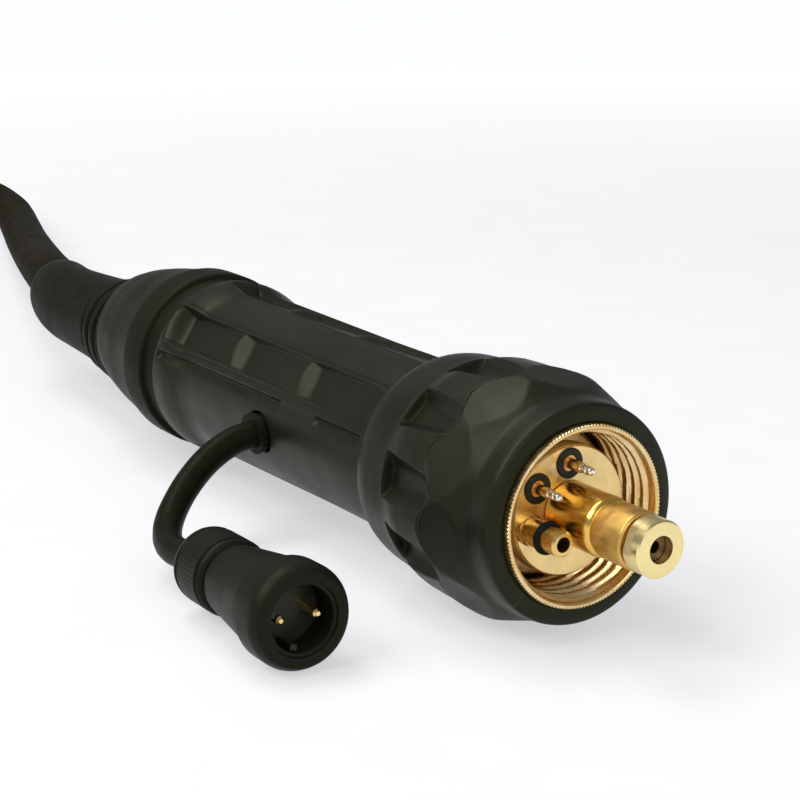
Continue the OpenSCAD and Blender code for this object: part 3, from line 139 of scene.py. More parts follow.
class Shader(Nodes):
    """A node material round one Principled shader, built line by line."""

    def __init__(self, name):
        self.mat = MATERIALS[name] = bpy.data.materials.new(name)
        super().__init__(self.mat)
        self.bsdf = self.add("ShaderNodeBsdfPrincipled")
        out = self.add("ShaderNodeOutputMaterial")
        self.link(self.bsdf.outputs[0], out.inputs[0])
        self.coords = self.add("ShaderNodeTexCoord").outputs["Object"]

    def noise(self, scale, detail=3.0, rough=0.5, vector=None, stretch=None):
        node = self.add("ShaderNodeTexNoise")
        node.inputs["Scale"].default_value = scale
        node.inputs["Detail"].default_value = detail
        node.inputs["Roughness"].default_value = rough
        where = vector or self.coords
        if stretch:
            mapping = self.add("ShaderNodeMapping")
            self.link(where, mapping.inputs[0])
            mapping.inputs["Scale"].default_value = stretch
            where = mapping.outputs[0]
        self.link(where, node.inputs["Vector"])
        return node.outputs["Fac"]

    def length(self, vector):
        node = self.add("ShaderNodeVectorMath", operation="LENGTH")
        self.link(vector, node.inputs[0])
        return node.outputs["Value"]

    def turned(self):
        """Coordinates that run along and out from the X axis, for lathe marks."""
        x, y, z = self.split(self.coords)
        across = self.add("ShaderNodeCombineXYZ")
        self.link(y, across.inputs[1])
        self.link(z, across.inputs[2])
        both = self.add("ShaderNodeCombineXYZ")
        self.link(x, both.inputs[0])
        self.link(self.length(across.outputs[0]), both.inputs[1])
        return both.outputs[0]

    def span(self, factor, low, high, start, end):
        """Runs from low to high while the factor goes from start to end."""
        node = self.add("ShaderNodeMapRange")
        self.link(factor, node.inputs[0])
        for i, value in enumerate((start, end, low, high)):
            node.inputs[1 + i].default_value = value
        return node.outputs[0]

    def mix(self, factor, a, b):
        node = self.add("ShaderNodeMix", data_type="RGBA")
        self.put(node.inputs[0], factor)
        for socket, value in ((node.inputs[6], a), (node.inputs[7], b)):
            self.put(socket, (*value, 1) if isinstance(value, tuple) else value)
        return node.outputs[2]

    def edges(self):
        """Bright along outer edges, from the mesh's own pointiness."""
        geometry = self.add("ShaderNodeNewGeometry")
        return self.span(geometry.outputs["Pointiness"], 0, 1, 0.52, 0.6)

    def bump(self, *layers):
        """Adds bump layers, each a height output and a depth in metres."""
        normal = None
        for height, depth in layers:
            node = self.add("ShaderNodeBump")
            node.inputs["Strength"].default_value = 1
            node.inputs["Distance"].default_value = depth
            self.link(height, node.inputs["Height"])
            if normal is not None:
                self.link(normal, node.inputs["Normal"])
            normal = node.outputs[0]
        self.link(normal, self.bsdf.inputs["Normal"])

    def set(self, **values):
        for key, value in values.items():
            self.put(self.bsdf.inputs[key.replace("_", " ")], value)
        return self.mat


# What the blacks of the photograph reflect is dull and slightly olive.
OLIVE = (0.92, 1.0, 0.66, 1)


def shade(colour, times, plus=0.0):
    return tuple(min(1, c * times + plus) for c in colour)


def plastic(name, colour, rough=0.42, grain=1500, depth=2e-5, worn=1.5, sheen=0.22):
    """Moulded nylon: fine grain, slow mottling, paler rubbed edges."""
    s = Shader(name)
    mottle = s.noise(45, 4)
    fine = s.noise(grain, 2, 0.6)
    base = s.ramp(mottle, [(0.3, shade(colour, 0.8)), (0.7, shade(colour, 1.25))])
    rubbed = s.math("MULTIPLY", s.edges(), s.noise(260, 4), True)
    base = s.mix(rubbed, base, shade(colour, worn, 0.01))
    roughness = s.span(s.noise(90, 5), rough - 0.06, rough + 0.08, 0.3, 0.7)
    s.bump((fine, depth), (s.noise(300, 3), depth * 1.2))
    return s.set(Base_Color=base, Roughness=roughness, Specular_IOR_Level=sheen,
                 Specular_Tint=OLIVE)


def rubber(name, colour, rough=0.5, gloss=0.06):
    """Black rubber: dust in its grain and faint rub marks."""
    s = Shader(name)
    dust = s.noise(500, 5, 0.65)
    base = s.ramp(dust, [(0.35, colour), (0.75, shade(colour, 1.7, 0.001))])
    scuff = s.noise(120, 4, 0.7)
    base = s.mix(s.span(scuff, 0, 0.5, 0.6, 0.8), base, shade(colour, 2.2, 0.002))
    roughness = s.span(scuff, rough - 0.07, rough + 0.12, 0.3, 0.75)
    s.bump((s.noise(2200, 2), 1.2e-5), (scuff, 3e-5))
    return s.set(Base_Color=base, Roughness=roughness, Specular_IOR_Level=gloss,
                 Specular_Tint=OLIVE)


def metal(name, colour, rough=0.25, marks=9000, depth=4e-6, stained=None):
    """Turned metal: lathe marks about X, slight stains and brighter edges."""
    s = Shader(name)
    lathe = s.noise(marks, 2, 0.6, s.turned())
    coarse = s.noise(marks / 6, 2, 0.5, s.turned())
    stain = s.noise(110, 5, 0.6)
    base = s.ramp(stain, [(0.35, stained or shade(colour, 0.8)), (0.62, colour)])
    base = s.mix(s.span(lathe, 0, 0.3, 0.45, 0.75), base, shade(colour, 1.12))
    wear = s.math("MULTIPLY", s.edges(), 0.35)
    base = s.mix(wear, base, shade(colour, 1.3, 0.05))
    roughness = s.span(s.noise(420, 4), rough * 0.75, rough * 1.35, 0.3, 0.7)
    s.bump((lathe, depth), (coarse, depth * 1.5))
    return s.set(Base_Color=base, Metallic=1.0, Roughness=roughness)


def woven(name, colour):
    """Hook-and-loop tape: a tight weave with a fuzzy, matt face."""
    s = Shader(name)
    a = s.noise(2600, 1, 0.5, stretch=(1, 1, 0.12))
    b = s.noise(2600, 1, 0.5, stretch=(0.12, 0.12, 1))
    weave = s.math("MAXIMUM", a, b)
    fuzz = s.noise(5200, 2, 0.7)
    base = s.ramp(weave, [(0.4, shade(colour, 0.5)), (0.7, shade(colour, 1.5))])
    s.bump((weave, 1e-4), (fuzz, 6e-5))
    return s.set(Base_Color=base, Roughness=0.92, Specular_IOR_Level=0.2,
                 Sheen_Weight=0.12)


def contact_metal(name, tip_plane):
    """Gold shaft with a silver tip in front of a plane square to X."""
    s = Shader(name)
    silver = s.math("GREATER_THAN", s.split(s.coords)[0], tip_plane)
    gold = s.ramp(s.noise(300, 4),
                  [(0.3, (0.62, 0.38, 0.12)), (0.7, (0.86, 0.60, 0.26))])
    base = s.mix(silver, gold, (0.86, 0.84, 0.80))
    s.bump((s.noise(8000, 2, 0.5, s.turned()), 3e-6))
    return s.set(Base_Color=base, Metallic=1.0,
                 Roughness=s.span(s.noise(700, 3), 0.14, 0.3, 0.3, 0.7))


# name, colour, roughness, marks or grain per metre, their depth in metres
metal("turned_brass", (0.84, 0.59, 0.26), 0.30, 7000, 6e-6)
metal("pin_brass", (0.86, 0.55, 0.13), 0.22, 9000, 3e-6, (0.70, 0.40, 0.07))
metal("frosted_brass", (0.70, 0.44, 0.13), 0.42, 5000, 7e-6, (0.52, 0.30, 0.06))
metal("pale_brass", (0.94, 0.70, 0.33), 0.30, 8000)
metal("golden_brass", (0.84, 0.56, 0.20), 0.24)
metal("thread_brass", (0.86, 0.65, 0.36), 0.26, 5000, 6e-6, (0.74, 0.46, 0.16))
# The wire liner is dark brown: its own colour darkened to stand for the shade deep in
# the bore, so partly painted shade.
metal("liner_steel", (0.16, 0.10, 0.055), 0.45, 2600, 2e-5)
contact_metal("contact_gold", 0.0048)
metal("contact_copper", (0.66, 0.34, 0.12), 0.35, 6000)
plastic("insulator_black", (0.012, 0.013, 0.010), 0.35, 2500, 1e-5)
rubber("seal_rubber", (0.008, 0.008, 0.007), 0.3)
plastic("nut_plastic", (0.0088, 0.0100, 0.0056))
plastic("plug_plastic", (0.0085, 0.0095, 0.0058), 0.46, 1800, sheen=0.12)
plastic("ring_plastic", (0.0098, 0.0110, 0.0062), 0.5, sheen=0.1)
plastic("housing_plastic", (0.0086, 0.0096, 0.0054), 0.42, 1300, 2.2e-5)
rubber("boot_rubber", (0.0080, 0.0083, 0.0054), 0.52)
rubber("cable_rubber", (0.0130, 0.0112, 0.0064), 0.6, 0.01)
rubber("lead_rubber", (0.0075, 0.0072, 0.0040), 0.42)
metal("copper", (0.80, 0.38, 0.20), 0.32, 4000, 6e-6, (0.55, 0.24, 0.12))
metal("ferrule_metal", (0.62, 0.46, 0.24), 0.4, 3000)
metal("screw_steel", (0.24, 0.24, 0.235), 0.34, 5000)
metal("plug_gold", (0.86, 0.58, 0.24))
woven("tie_fabric", (0.0165, 0.0158, 0.0120))
plastic("handle_plastic", (0.017, 0.018, 0.0145), 0.46, 1100, 3e-5)
plastic("trigger_plastic", (0.03, 0.031, 0.027), 0.4)
plastic("button_red", (0.42, 0.03, 0.02), 0.3, 2000, 6e-6, 1.2)
plastic("sleeve_black", (0.014, 0.014, 0.014), 0.38, 900)
plastic("insulator_pale", (0.50, 0.42, 0.30), 0.55, 1400, worn=1.1)
metal("nozzle_plate", (0.72, 0.70, 0.66), 0.24, 6000, 6e-7, (0.60, 0.57, 0.52))


# ---- Mesh building. Shapes are written in millimetres ----

def build_mesh(name, points, faces):
    """A mesh from points in millimetres, with its normals outward."""
    mesh = bpy.data.meshes.new(name)
    mesh.from_pydata([tuple(float(c) * MM for c in p) for p in points], [],
                     [tuple(f) for f in faces])
    work = bmesh.new()
    work.from_mesh(mesh)
    bmesh.ops.recalc_face_normals(work, faces=work.faces)
    work.to_mesh(mesh)
    work.free()
    return mesh


def smooth(mesh, angle):
    mesh.shade_smooth()
    mesh.set_sharp_from_angle(angle=math.radians(angle))


def finish_mesh(name, points, faces, material, body, hides=(), slot=None, angle=32,
                place=None):
    """Adds a smooth-shaded piece, made in millimetres, that rides on a body."""
    mesh = build_mesh(name, points, faces)
    smooth(mesh, angle)
    mesh.materials.append(MATERIALS[material])
    piece = add_object(name, mesh)
    if place is not None:
        piece.matrix_world = place
    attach(piece, body)
    slot or material
    if hides:
        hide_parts(*hides)
    return piece


def clock_steps(count):
    """Clock angles in degrees, from +Z towards -Y."""
    return np.arange(count) * 360 / count


def bridge(near, far):
    """Faces between two closed rings of point numbers."""
    n = len(near)
    return [(near[k], far[k], far[(k + 1) % n], near[(k + 1) % n]) for k in range(n)]


def revolve(rows, count, loop=False):
    """Points and faces turned about X. A row is x and radius, and each of them is one
    number or one value for every clock step."""
    clock = np.radians(clock_steps(count))
    sides, ups = -np.sin(clock), np.cos(clock)
    points, rings = [], []
    for x, r in rows:
        start = len(points)
        if np.isscalar(r) and r < 1e-6:
            points.append((x, 0, 0))
            rings.append([start])
            continue
        xs, rs = np.broadcast_to(x, count), np.broadcast_to(r, count)
        points += list(zip(xs, rs * sides, rs * ups))
        rings.append(list(range(start, start + count)))
    faces = []
    for near, far in zip(rings, rings[1:] + (rings[:1] if loop else [])):
        if len(near) > 1 and len(far) > 1:
            faces += bridge(near, far)
        elif len(far) > 1:
            faces += [(near[0], far[k], far[(k + 1) % count]) for k in range(count)]
        elif len(near) > 1:
            faces += [(near[k], far[0], near[(k + 1) % count]) for k in range(count)]
    return points, faces


def rounded(profile, size, steps=3):
    """A profile of [x, r] corners, each inner one rounded by size or by its own
    third number."""
    points = [np.array(p[:2], float) for p in profile]
    out = [points[0]]
    for i in range(1, len(points) - 1):
        corner = points[i]
        cut = profile[i][2] if len(profile[i]) > 2 else size
        before, after = points[i - 1] - corner, points[i + 1] - corner
        back, ahead = np.linalg.norm(before), np.linalg.norm(after)
        reach = min(cut, 0.45 * back, 0.45 * ahead)
        if reach < 0.01:
            out.append(corner)
            continue
        a = corner + before / back * reach
        b = corner + after / ahead * reach
        for s in range(steps + 1):
            t = s / steps
            out.append((1 - t) ** 2 * a + 2 * t * (1 - t) * corner + t * t * b)
    out.append(points[-1])
    return [(float(p[0]), float(p[1])) for p in out]


def turn_rows(name, rows, count, material, body, loop=True, **more):
    points, faces = revolve(rows, count, loop)
    return finish_mesh(name, points, faces, material, body, **more)


def turned(name, profile, material, body, size, count, loop=False, **more):
    return turn_rows(name, rounded(profile, size), count, material, body, loop, **more)


def smooth_rows(table, step):
    """Rows sampled every step along the first column, on a smooth curve."""
    table = np.array(table, float)
    xs = table[:, 0]
    count = max(2, int(round(abs(xs[-1] - xs[0]) / step)) + 1)
    at = np.linspace(xs[0], xs[-1], count)
    order = np.argsort(xs)
    out = [at]
    for column in range(1, table.shape[1]):
        x, y = xs[order], table[order, column]
        slope = np.gradient(y, x)
        i = np.clip(np.searchsorted(x, at) - 1, 0, len(x) - 2)
        h = x[i + 1] - x[i]
        t = (at - x[i]) / h
        out.append((2 * t**3 - 3 * t**2 + 1) * y[i]
                   + (t**3 - 2 * t**2 + t) * h * slope[i]
                   + (3 * t**2 - 2 * t**3) * y[i + 1]
                   + (t**3 - t**2) * h * slope[i + 1])
    return np.array(out).T


def step_up(value, low, high):
    """0 below low, 1 above high and a smooth change between."""
    t = np.clip((value - low) / (high - low), 0, 1)
    return t * t * (3 - 2 * t)


def between(value, rise, fall):
    """1 between the end of rise and the start of fall, 0 outside both."""
    return step_up(value, *rise) * (1 - step_up(value, *fall))


def soft_min(a, b, k):
    h = np.clip(0.5 + 0.5 * (b - a) / k, 0, 1)
    return b + (a - b) * h - k * h * (1 - h)


def ripple(count, angle):
    """Runs between 0 and 1 that many times in a turn."""
    return 0.5 + 0.5 * np.cos(np.radians(count * angle))


def turn_from(angle, centre, every):
    """Degrees from the nearest of the clock angles centre + k * every."""
    return (angle - centre + every / 2) % every - every / 2


def loft(centres, ways, radii, sides):
    """A closed tube of round rings that stand square to ways."""
    points, rings = [], []
    turn = np.radians(clock_steps(sides))
    for c, w, r in zip(centres, ways, radii):
        w = Vector(w).normalized()
        side = Vector((0, 0, 1)).cross(w).normalized()
        up = w.cross(side)
        rings.append(list(range(len(points), len(points) + sides)))
        points += [tuple(Vector(c) + r * (math.sin(t) * side + math.cos(t) * up))
                   for t in turn]
    faces = []
    for near, far in zip(rings, rings[1:]):
        faces += bridge(near, far)
    faces += [tuple(rings[0]), tuple(rings[-1])]
    return points, faces


def ease_edges(piece, width, segments=1, angle=30):
    ease = piece.modifiers.new("eased_edges", "BEVEL")
    ease.width = width * MM
    ease.segments = segments
    ease.limit_method = "ANGLE"
    ease.angle_limit = math.radians(angle)


def keep_cad(node, material, bevel=0.0):
    """A CAD node that stays, with its own material and eased edges."""
    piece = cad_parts[node]
    piece.data.materials.clear()
    piece.data.materials.append(MATERIALS[material])
    if bevel:
        ease_edges(piece, bevel, 2, 40)


# ---- Routes of the cords, as the part's source has them ----

TABLE_Z = -29.3
CABLE_R, LEAD_R = 8.25, 3.6
CABLE_Z = TABLE_Z + CABLE_R
BOOT_END = (-289, 5, -1.05)
CABLE_ROUTE = [
    (-305, 9.5, 19.6), (-325, 15.8, 17.8), (-360, 28, 14), (-395, 40.5, 10.2),
    (-430, 53, 6.8), (-465, 65.5, 4), (-500, 78, 1.9), (-536, 90, 0.6),
    (-573, 98, 0), (-610, 100, 0.2), (-644, 94.5, 0.8), (-673, 84, 1.3),
]
TAIL_ROUTE = [(-607, -124, 17.9), (-591.5, -124, 15), (-576, -124, 11.3)]
COIL_X, COIL_Y, COIL_R, COIL_STEP = -640, -20, 104, 18.4
COIL_IN, COIL_TURNS, COIL_LIFT, COIL_LAYER = 133, 4.38, 1.5, 17.1
CLIMB, CLIMB_DIP = 0.5, 3
LAYER_TURNS = (COIL_TURNS - CLIMB) / 2
INNER_R = COIL_R - COIL_STEP * LAYER_TURNS
COIL_END = 17
HANDLE = (-500, -124, -11.3)
BOOT_TAIL = (-560, -124, -11.3)


def coil_point(u):
    """A point of the coil after u turns: in along one layer, up, and out again."""
    if u < LAYER_TURNS:
        r = COIL_R - COIL_STEP * u
    elif u < LAYER_TURNS + CLIMB:
        r = INNER_R - CLIMB_DIP * math.sin(math.pi * (u - LAYER_TURNS) / CLIMB)
    else:
        r = INNER_R + COIL_STEP * (u - LAYER_TURNS - CLIMB)
    t = min(1, max(0, (u - LAYER_TURNS) / CLIMB))
    z = CABLE_Z + COIL_LIFT + COIL_LAYER * t * t * (3 - 2 * t)
    a = math.radians(COIL_IN + 360 * u)
    return (COIL_X + r * math.cos(a), COIL_Y + r * math.sin(a), z)


def coil_route():
    """The coil's points, with one more straight ahead at each end."""
    steps = round(COIL_TURNS * 24)
    points = [coil_point(COIL_TURNS * i / steps) for i in range(steps + 1)]
    for u, sign, where in ((0, -1, 0), (COIL_TURNS, 1, len(points) + 1)):
        a = math.radians(COIL_IN + 360 * u)
        p = coil_point(u)
        points.insert(where, (p[0] - sign * COIL_END * math.sin(a),
                              p[1] + sign * COIL_END * math.cos(a), p[2]))
    return points


def cable_points():
    lift = [(x, y, CABLE_Z + z) for x, y, z in CABLE_ROUTE]
    tail = [(x, y, CABLE_Z + z) for x, y, z in TAIL_ROUTE]
    return [BOOT_END] + lift + coil_route() + tail + [BOOT_TAIL]


def cord_curve(name, points, radius, material, first, last, reach):
    """A round cord through points, which leaves along first and ends along last."""
    data = bpy.data.curves.new(name, "CURVE")
    data.dimensions = "3D"
    data.bevel_depth = radius * MM
    data.bevel_resolution = 7
    data.use_fill_caps = True
    data.resolution_u = 8
    spline = data.splines.new("BEZIER")
    spline.bezier_points.add(len(points) - 1)
    places = [Vector(p) * MM for p in points]
    for i, (p, b) in enumerate(zip(places, spline.bezier_points)):
        b.co = p
        b.handle_left_type = b.handle_right_type = "FREE"
        if 0 < i < len(places) - 1:
            behind, beyond = p - places[i - 1], places[i + 1] - p
            back, ahead = behind.length / 3, beyond.length / 3
            way = beyond.normalized() * back + behind.normalized() * ahead
        else:
            way, back, ahead = Vector(last if i else first), reach * MM, reach * MM
        way = way.normalized()
        b.handle_left = p - way * back
        b.handle_right = p + way * ahead
    cord = add_object(name, data)
    data.materials.append(MATERIALS[material])
    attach(cord, "torch")
    return cord


PLUG_AT = (-17.5, -61, -16.75)
PLUG_WAY = Vector((0.998586, -0.0401073, 0.0348995)).normalized()
LEAD_OUT = (-107.3, -23.7947, -3.13263)
LEAD_CLOCK = 97.5
PLUG_REAR = (-67.5291, -58.9906, -18.4985)
LEAD_ROUTE = [
    (-107.3, -29, -4.1), (-106.5, -36, -7), (-104.5, -42.5, -11),
    (-101, -48.5, -15.2), (-96, -53.5, -18.5), (-89.5, -57, -20.3),
    (-82, -58.8, -20.4), (-75, -59, -19.5),
]
LEAD_WAY = (0, -math.sin(math.radians(LEAD_CLOCK)), math.cos(math.radians(LEAD_CLOCK)))

torch_cable = cord_curve("torch_cable", cable_points(), CABLE_R, "cable_rubber",
                         first=(-0.949, 0.313, -0.03), last=(1, 0, 0), reach=5)
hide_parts("main_cable", "cable_coil", "cable_tail")
plug_lead = cord_curve("plug_lead", [LEAD_OUT] + LEAD_ROUTE + [PLUG_REAR], LEAD_R,
                       "lead_rubber", first=LEAD_WAY, last=PLUG_WAY, reach=2)
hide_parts("control_lead")


# ---- Coupling nut and its brass insert ----

POCKET_CLOCK, POCKET_PITCH = 9, 36
BORDER_X = -21.2
BELL_R = 29.25


def coupling_nut():
    count = 900
    a = clock_steps(count)
    crest = smooth_rows([
        (-57.7, 21.9), (-57.0, 22.7), (-55.5, 24.2), (-53, 25.7), (-50, 26.5),
        (-46, 26.9), (-40, 27.3), (-36, 28.4), (-33, 29.0), (-30, 29.2),
        (-24, BELL_R), (-17, BELL_R), (-15, 28.9), (-12.5, 27.7), (-10, 26.5),
        (-8.2, 25.75), (-6, 25.5), (-3.6, 25.4), (-2.4, 25.2), (-1.9, 24.9),
        (-1.7, 24.5)], 0.2)
    rib_clock = POCKET_CLOCK + POCKET_PITCH / 2
    pocket = abs(turn_from(a, POCKET_CLOCK, POCKET_PITCH))
    flat = np.cos(np.radians(turn_from(a, rib_clock, POCKET_PITCH)))
    wave = -1.7 * np.cos(np.radians(360 / POCKET_PITCH * (a - rib_clock)))
    stations = np.concatenate([
        np.arange(-57.7, -42.3, 0.45), np.arange(-42.1, -38.4, 0.14),
        np.arange(-38.2, -23.6, 0.4), np.arange(-23.5, -19.4, 0.16),
        np.arange(-19.2, -2.6, 0.32), [-2.4, -2.1, -1.9, -1.78, -1.7]])
    rows = []
    for station in stations:
        # rows bend along the border between the grip and the bell
        ahead = station - BORDER_X
        x = station + wave * (1 - step_up(abs(ahead), 0.8, 7.0))
        radius = np.interp(x, crest[:, 0], crest[:, 1])
        # the ribs lie a little under the bell, behind a fine groove
        behind = (1 - step_up(ahead, -0.35, 0.05)) * step_up(x, -36, -31)
        groove = np.exp(-((ahead + 0.5) / 0.35) ** 2)
        radius = radius - behind * (0.3 + 0.45 * groove)
        # flats on the bell in front of the ribs
        plane = (BELL_R - 0.2 * (x + 23)) / flat
        front = step_up(ahead, -0.3, 0.6) * (1 - step_up(x, -9, -7))
        radius = radius + (soft_min(radius, plane, 0.25) - radius) * front
        # pockets: upright behind, shallower and narrower in front
        along = np.clip((x + 40) / 18, 0, 1)
        half = 11.6 - 3.2 * along**1.5
        across = np.minimum(1, pocket / half) ** (4 - 1.8 * along)
        floor = 24.5 + 1.2 * along**2 + 2.6 * step_up(ahead, -2.6, 0.2)
        depth = np.maximum(0, radius - floor) * (1 - across)
        depth = depth * step_up(x, -40.7, -39.7) * (1 - step_up(ahead, -0.9, 0.3))
        radius = radius - depth
        rows.append((x, radius))
    inner = rounded([[-1.7, 24.5], [-1.7, 21.3], [-2.0, 21.02], [-20.62, 20.52],
                     [-20.62, 18.5], [-23.1, 18.5], [-23.1, 15.65], [-28, 15.65],
                     [-28, 18.3], [-57.7, 18.3], [-57.7, 21.9]], 0.2, 2)[1:-1]
    # the bore round the brass insert is straight
    rows += [(x, r if x > -2 or r < 20.5 else 20.52) for x, r in inner]
    turn_rows("nut_grip", rows, count, "nut_plastic", "nut", hides=["coupling_nut"],
              angle=50)


THREAD_PITCH, THREAD_DEPTH = 3.0, 1.02
BORE_R = 19.62


def thread_insert():
    """The brass insert: knurled edge, and a thread inside that fades at both ends."""
    count = 600
    a = clock_steps(count)
    knurl = ripple(150, a)
    rows = [(-1.7, 20.5), (-1.66, 20.98 - 0.3 * knurl), (-0.45, 21.0 - 0.32 * knurl),
            (-0.12, 20.85 - 0.30 * knurl), (0, 20.5 - 0.22 * knurl), (0, 20.2),
            (-0.06, 19.95), (-0.35, 19.66), (-1.0, 19.6)]
    for x in np.arange(-1.2, -18.6, -0.2):
        phase = ((-x - 1.5) / THREAD_PITCH + a / 360) % 1
        tooth = between(phase, (0.08, 0.34), (0.62, 0.92))
        fade = between(-x, (1.2, 2.6), (17.0, 18.4))
        rows.append((x, BORE_R - THREAD_DEPTH * tooth * fade))
    rows += [(-20.6, BORE_R), (-20.6, 20.5)]
    turn_rows("nut_ring", rows, count, "thread_brass", "nut", hides=["thread_insert"],
              slot="turned_brass", angle=42)


coupling_nut()
thread_insert()


# ---- Power pin and contacts ----

turned("pin_base", [
    [-5.95, 5.0], [-5.95, 6.75], [-5.6, 6.9], [8.2, 6.9, 0.6], [9.3, 6.2, 0.3],
    [9.3, 5.6], [8.9, 2.6]],
    "pin_brass", "torch", 0.25, 128, hides=["power_pin"])
turned("pin_nose", [
    [9.2, 2.6], [9.2, 5.7], [9.9, 5.9], [9.9, 6.3, 0.2], [10.3, 6.6, 0.3],
    [19.3, 6.6, 0.3], [19.7, 6.2, 0.2], [19.7, 4.9], [22.4, 4.9, 0.2], [22.4, 2.6]],
    "frosted_brass", "torch", 0.15, 128, slot="pin_brass")

PLUG_FACE_X, CONTACT_RING_R = -6, 11


def spring_contact(index, clock):
    a = math.radians(clock)
    turned(f"contact_pin_{index}", [
        [-14, 0], [-14, 1.2], [4.6, 1.2, 0.3], [5.0, 0.85], [5.8, 0.85],
        [6.0, 1.05, 0.1], [6.6, 1.05, 0.1], [6.8, 0.8], [7.2, 0.8], [7.4, 0.98, 0.1],
        [7.9, 0.95, 0.2], [8.6, 0.45, 0.2], [8.6, 0]],
        "contact_gold", f"contact_{index}", 0.08, 40,
        hides=[f"contact_plunger_{index}"],
        place=shift((PLUG_FACE_X, -CONTACT_RING_R * math.sin(a),
                     CONTACT_RING_R * math.cos(a))))


spring_contact(1, 1.2)
spring_contact(2, 53.4)


# ---- Housing ----

PANEL_CLOCK, PANEL_PITCH = 50, 60
PLAIN_CLOCK, PLAIN_HALF, GROOVE_OFF = 110, 30, 36.5
POCKET_MARKS = [-162.5, -128.5, -94.5, -60.5]
HOUSING_REAR = -165.3


def housing():
    count = 720
    a = clock_steps(count)
    rows = [(HOUSING_REAR, 20.5), (HOUSING_REAR + 0.02, 22.9)]
    xs = np.concatenate([np.arange(-165.0, -156, 0.35), np.arange(-156, -59.2, 0.42),
                         [-59.0, -58.75, -58.62]])
    crest = smooth_rows([
        (HOUSING_REAR, 22.9), (-164.6, 23.5), (-163, 24.1), (-160.5, 24.35),
        (-157.5, 24.3), (-154, 23.7), (-150.5, 22.8), (-148, 22.5), (-140, 22.45),
        (-120, 22.25), (-90, 21.95), (-60, 21.75), (-58.9, 21.7), (-58.6, 21.45)], 0.2)
    panel = turn_from(a, PANEL_CLOCK, PANEL_PITCH)
    plain = np.abs(turn_from(a, PLAIN_CLOCK, 360)) < PLAIN_HALF
    for x in xs:
        base = np.interp(x, crest[:, 0], crest[:, 1])
        radius = np.full(count, base)
        # recessed pockets, each with a ramp at its rear end and an upright front end
        for begin, end in zip(POCKET_MARKS, POCKET_MARKS[1:]):
            if begin <= x <= end + 0.5:
                skew = 0.10 * panel
                deep = between(x, (begin + skew, begin + 6.4 + skew), (end - 0.5, end))
                wide = 1 - step_up(abs(panel), 11.8, 13.0)
                # the floor is flat across, and rises a little to the front
                floor = (19.95 + 0.7 * (x - begin) / 34) / np.cos(np.radians(panel))
                cut = np.minimum(floor, radius)
                shape = radius + (cut - radius) * deep * wide
                radius = np.where(plain, radius, shape)
        # grooves beside the plain panel: a wall and a bevel that catches the light
        for sign in (1, -1):
            d = sign * turn_from(a, PLAIN_CLOCK - sign * GROOVE_OFF, 360)
            along = between(x, (-161.5, -160.3), (-61.2, -60.2))
            gap = between(x, (-98.6, -97.4), (-81.6, -80.4))
            groove = between(d, (-4.2, -0.9), (-0.9, 5.6))
            radius = radius - 1.25 * along * (1 - 0.75 * gap) * groove
        # crisp lines along the pocketed panels
        line = np.exp(-((abs(panel) - 15.2) / 0.5) ** 2) * np.where(plain, 0, 1)
        radius = radius - 0.22 * line * between(x, (-162, -158), (-61, -60))
        # hole for the lead
        deg = turn_from(a, LEAD_CLOCK, 360)
        away = np.hypot(x - LEAD_OUT[0], np.radians(deg) * base)
        radius = radius - 2.6 * (1 - step_up(away, 5.1, 5.7))
        rows.append((x, radius))
    rows += [(-58.62, 18.0), (-30.2, 18.0), (-30.2, 15.05), (-80, 15.05), (-80, 18.0),
             (-176.3, 18.0), (-176.3, 20.5)]
    turn_rows("housing_tube", rows, count, "housing_plastic", "torch",
              hides=["housing"], angle=40)


housing()


def rear_ring():
    outside = smooth_rows([(-180.4, 24.7), (-184, 23.95), (-190, 22.9), (-196, 22.0),
                           (-201, 21.05), (-206, 20.0), (-210, 18.8), (-212.6, 17.9),
                           (-213.3, 17.3)], 0.5)
    rows = [(-165.6, 20.6), (-165.6, 23.1), (-165.9, 23.2), (-169.9, 23.2),
            (-170.2, 23.4), (-170.3, 24.3), (-170.55, 24.65), (-170.9, 24.8),
            (-179.6, 24.8), (-180.1, 24.78)]
    rows += list(outside)
    rows += [(-213.3, 16.75), (-187, 16.75), (-186.4, 20.55)]
    turn_rows("ring_nut", rows, 240, "ring_plastic", "torch", hides=["rear_ring"],
              slot="housing_plastic", angle=30)


rear_ring()


# ---- Boot ----

BOOT_BEND = 27


def boot_axis(x):
    """The boot's axis sinks inside the ring and turns to the cable's way at its end."""
    turn = max(0.0, (BOOT_END[0] + BOOT_BEND - x) / BOOT_BEND)
    droop = step_up(-x, 186.3, 213.3)
    return Vector((x, 5 * turn**2, 0.95 * turn**2 - 2 * droop))


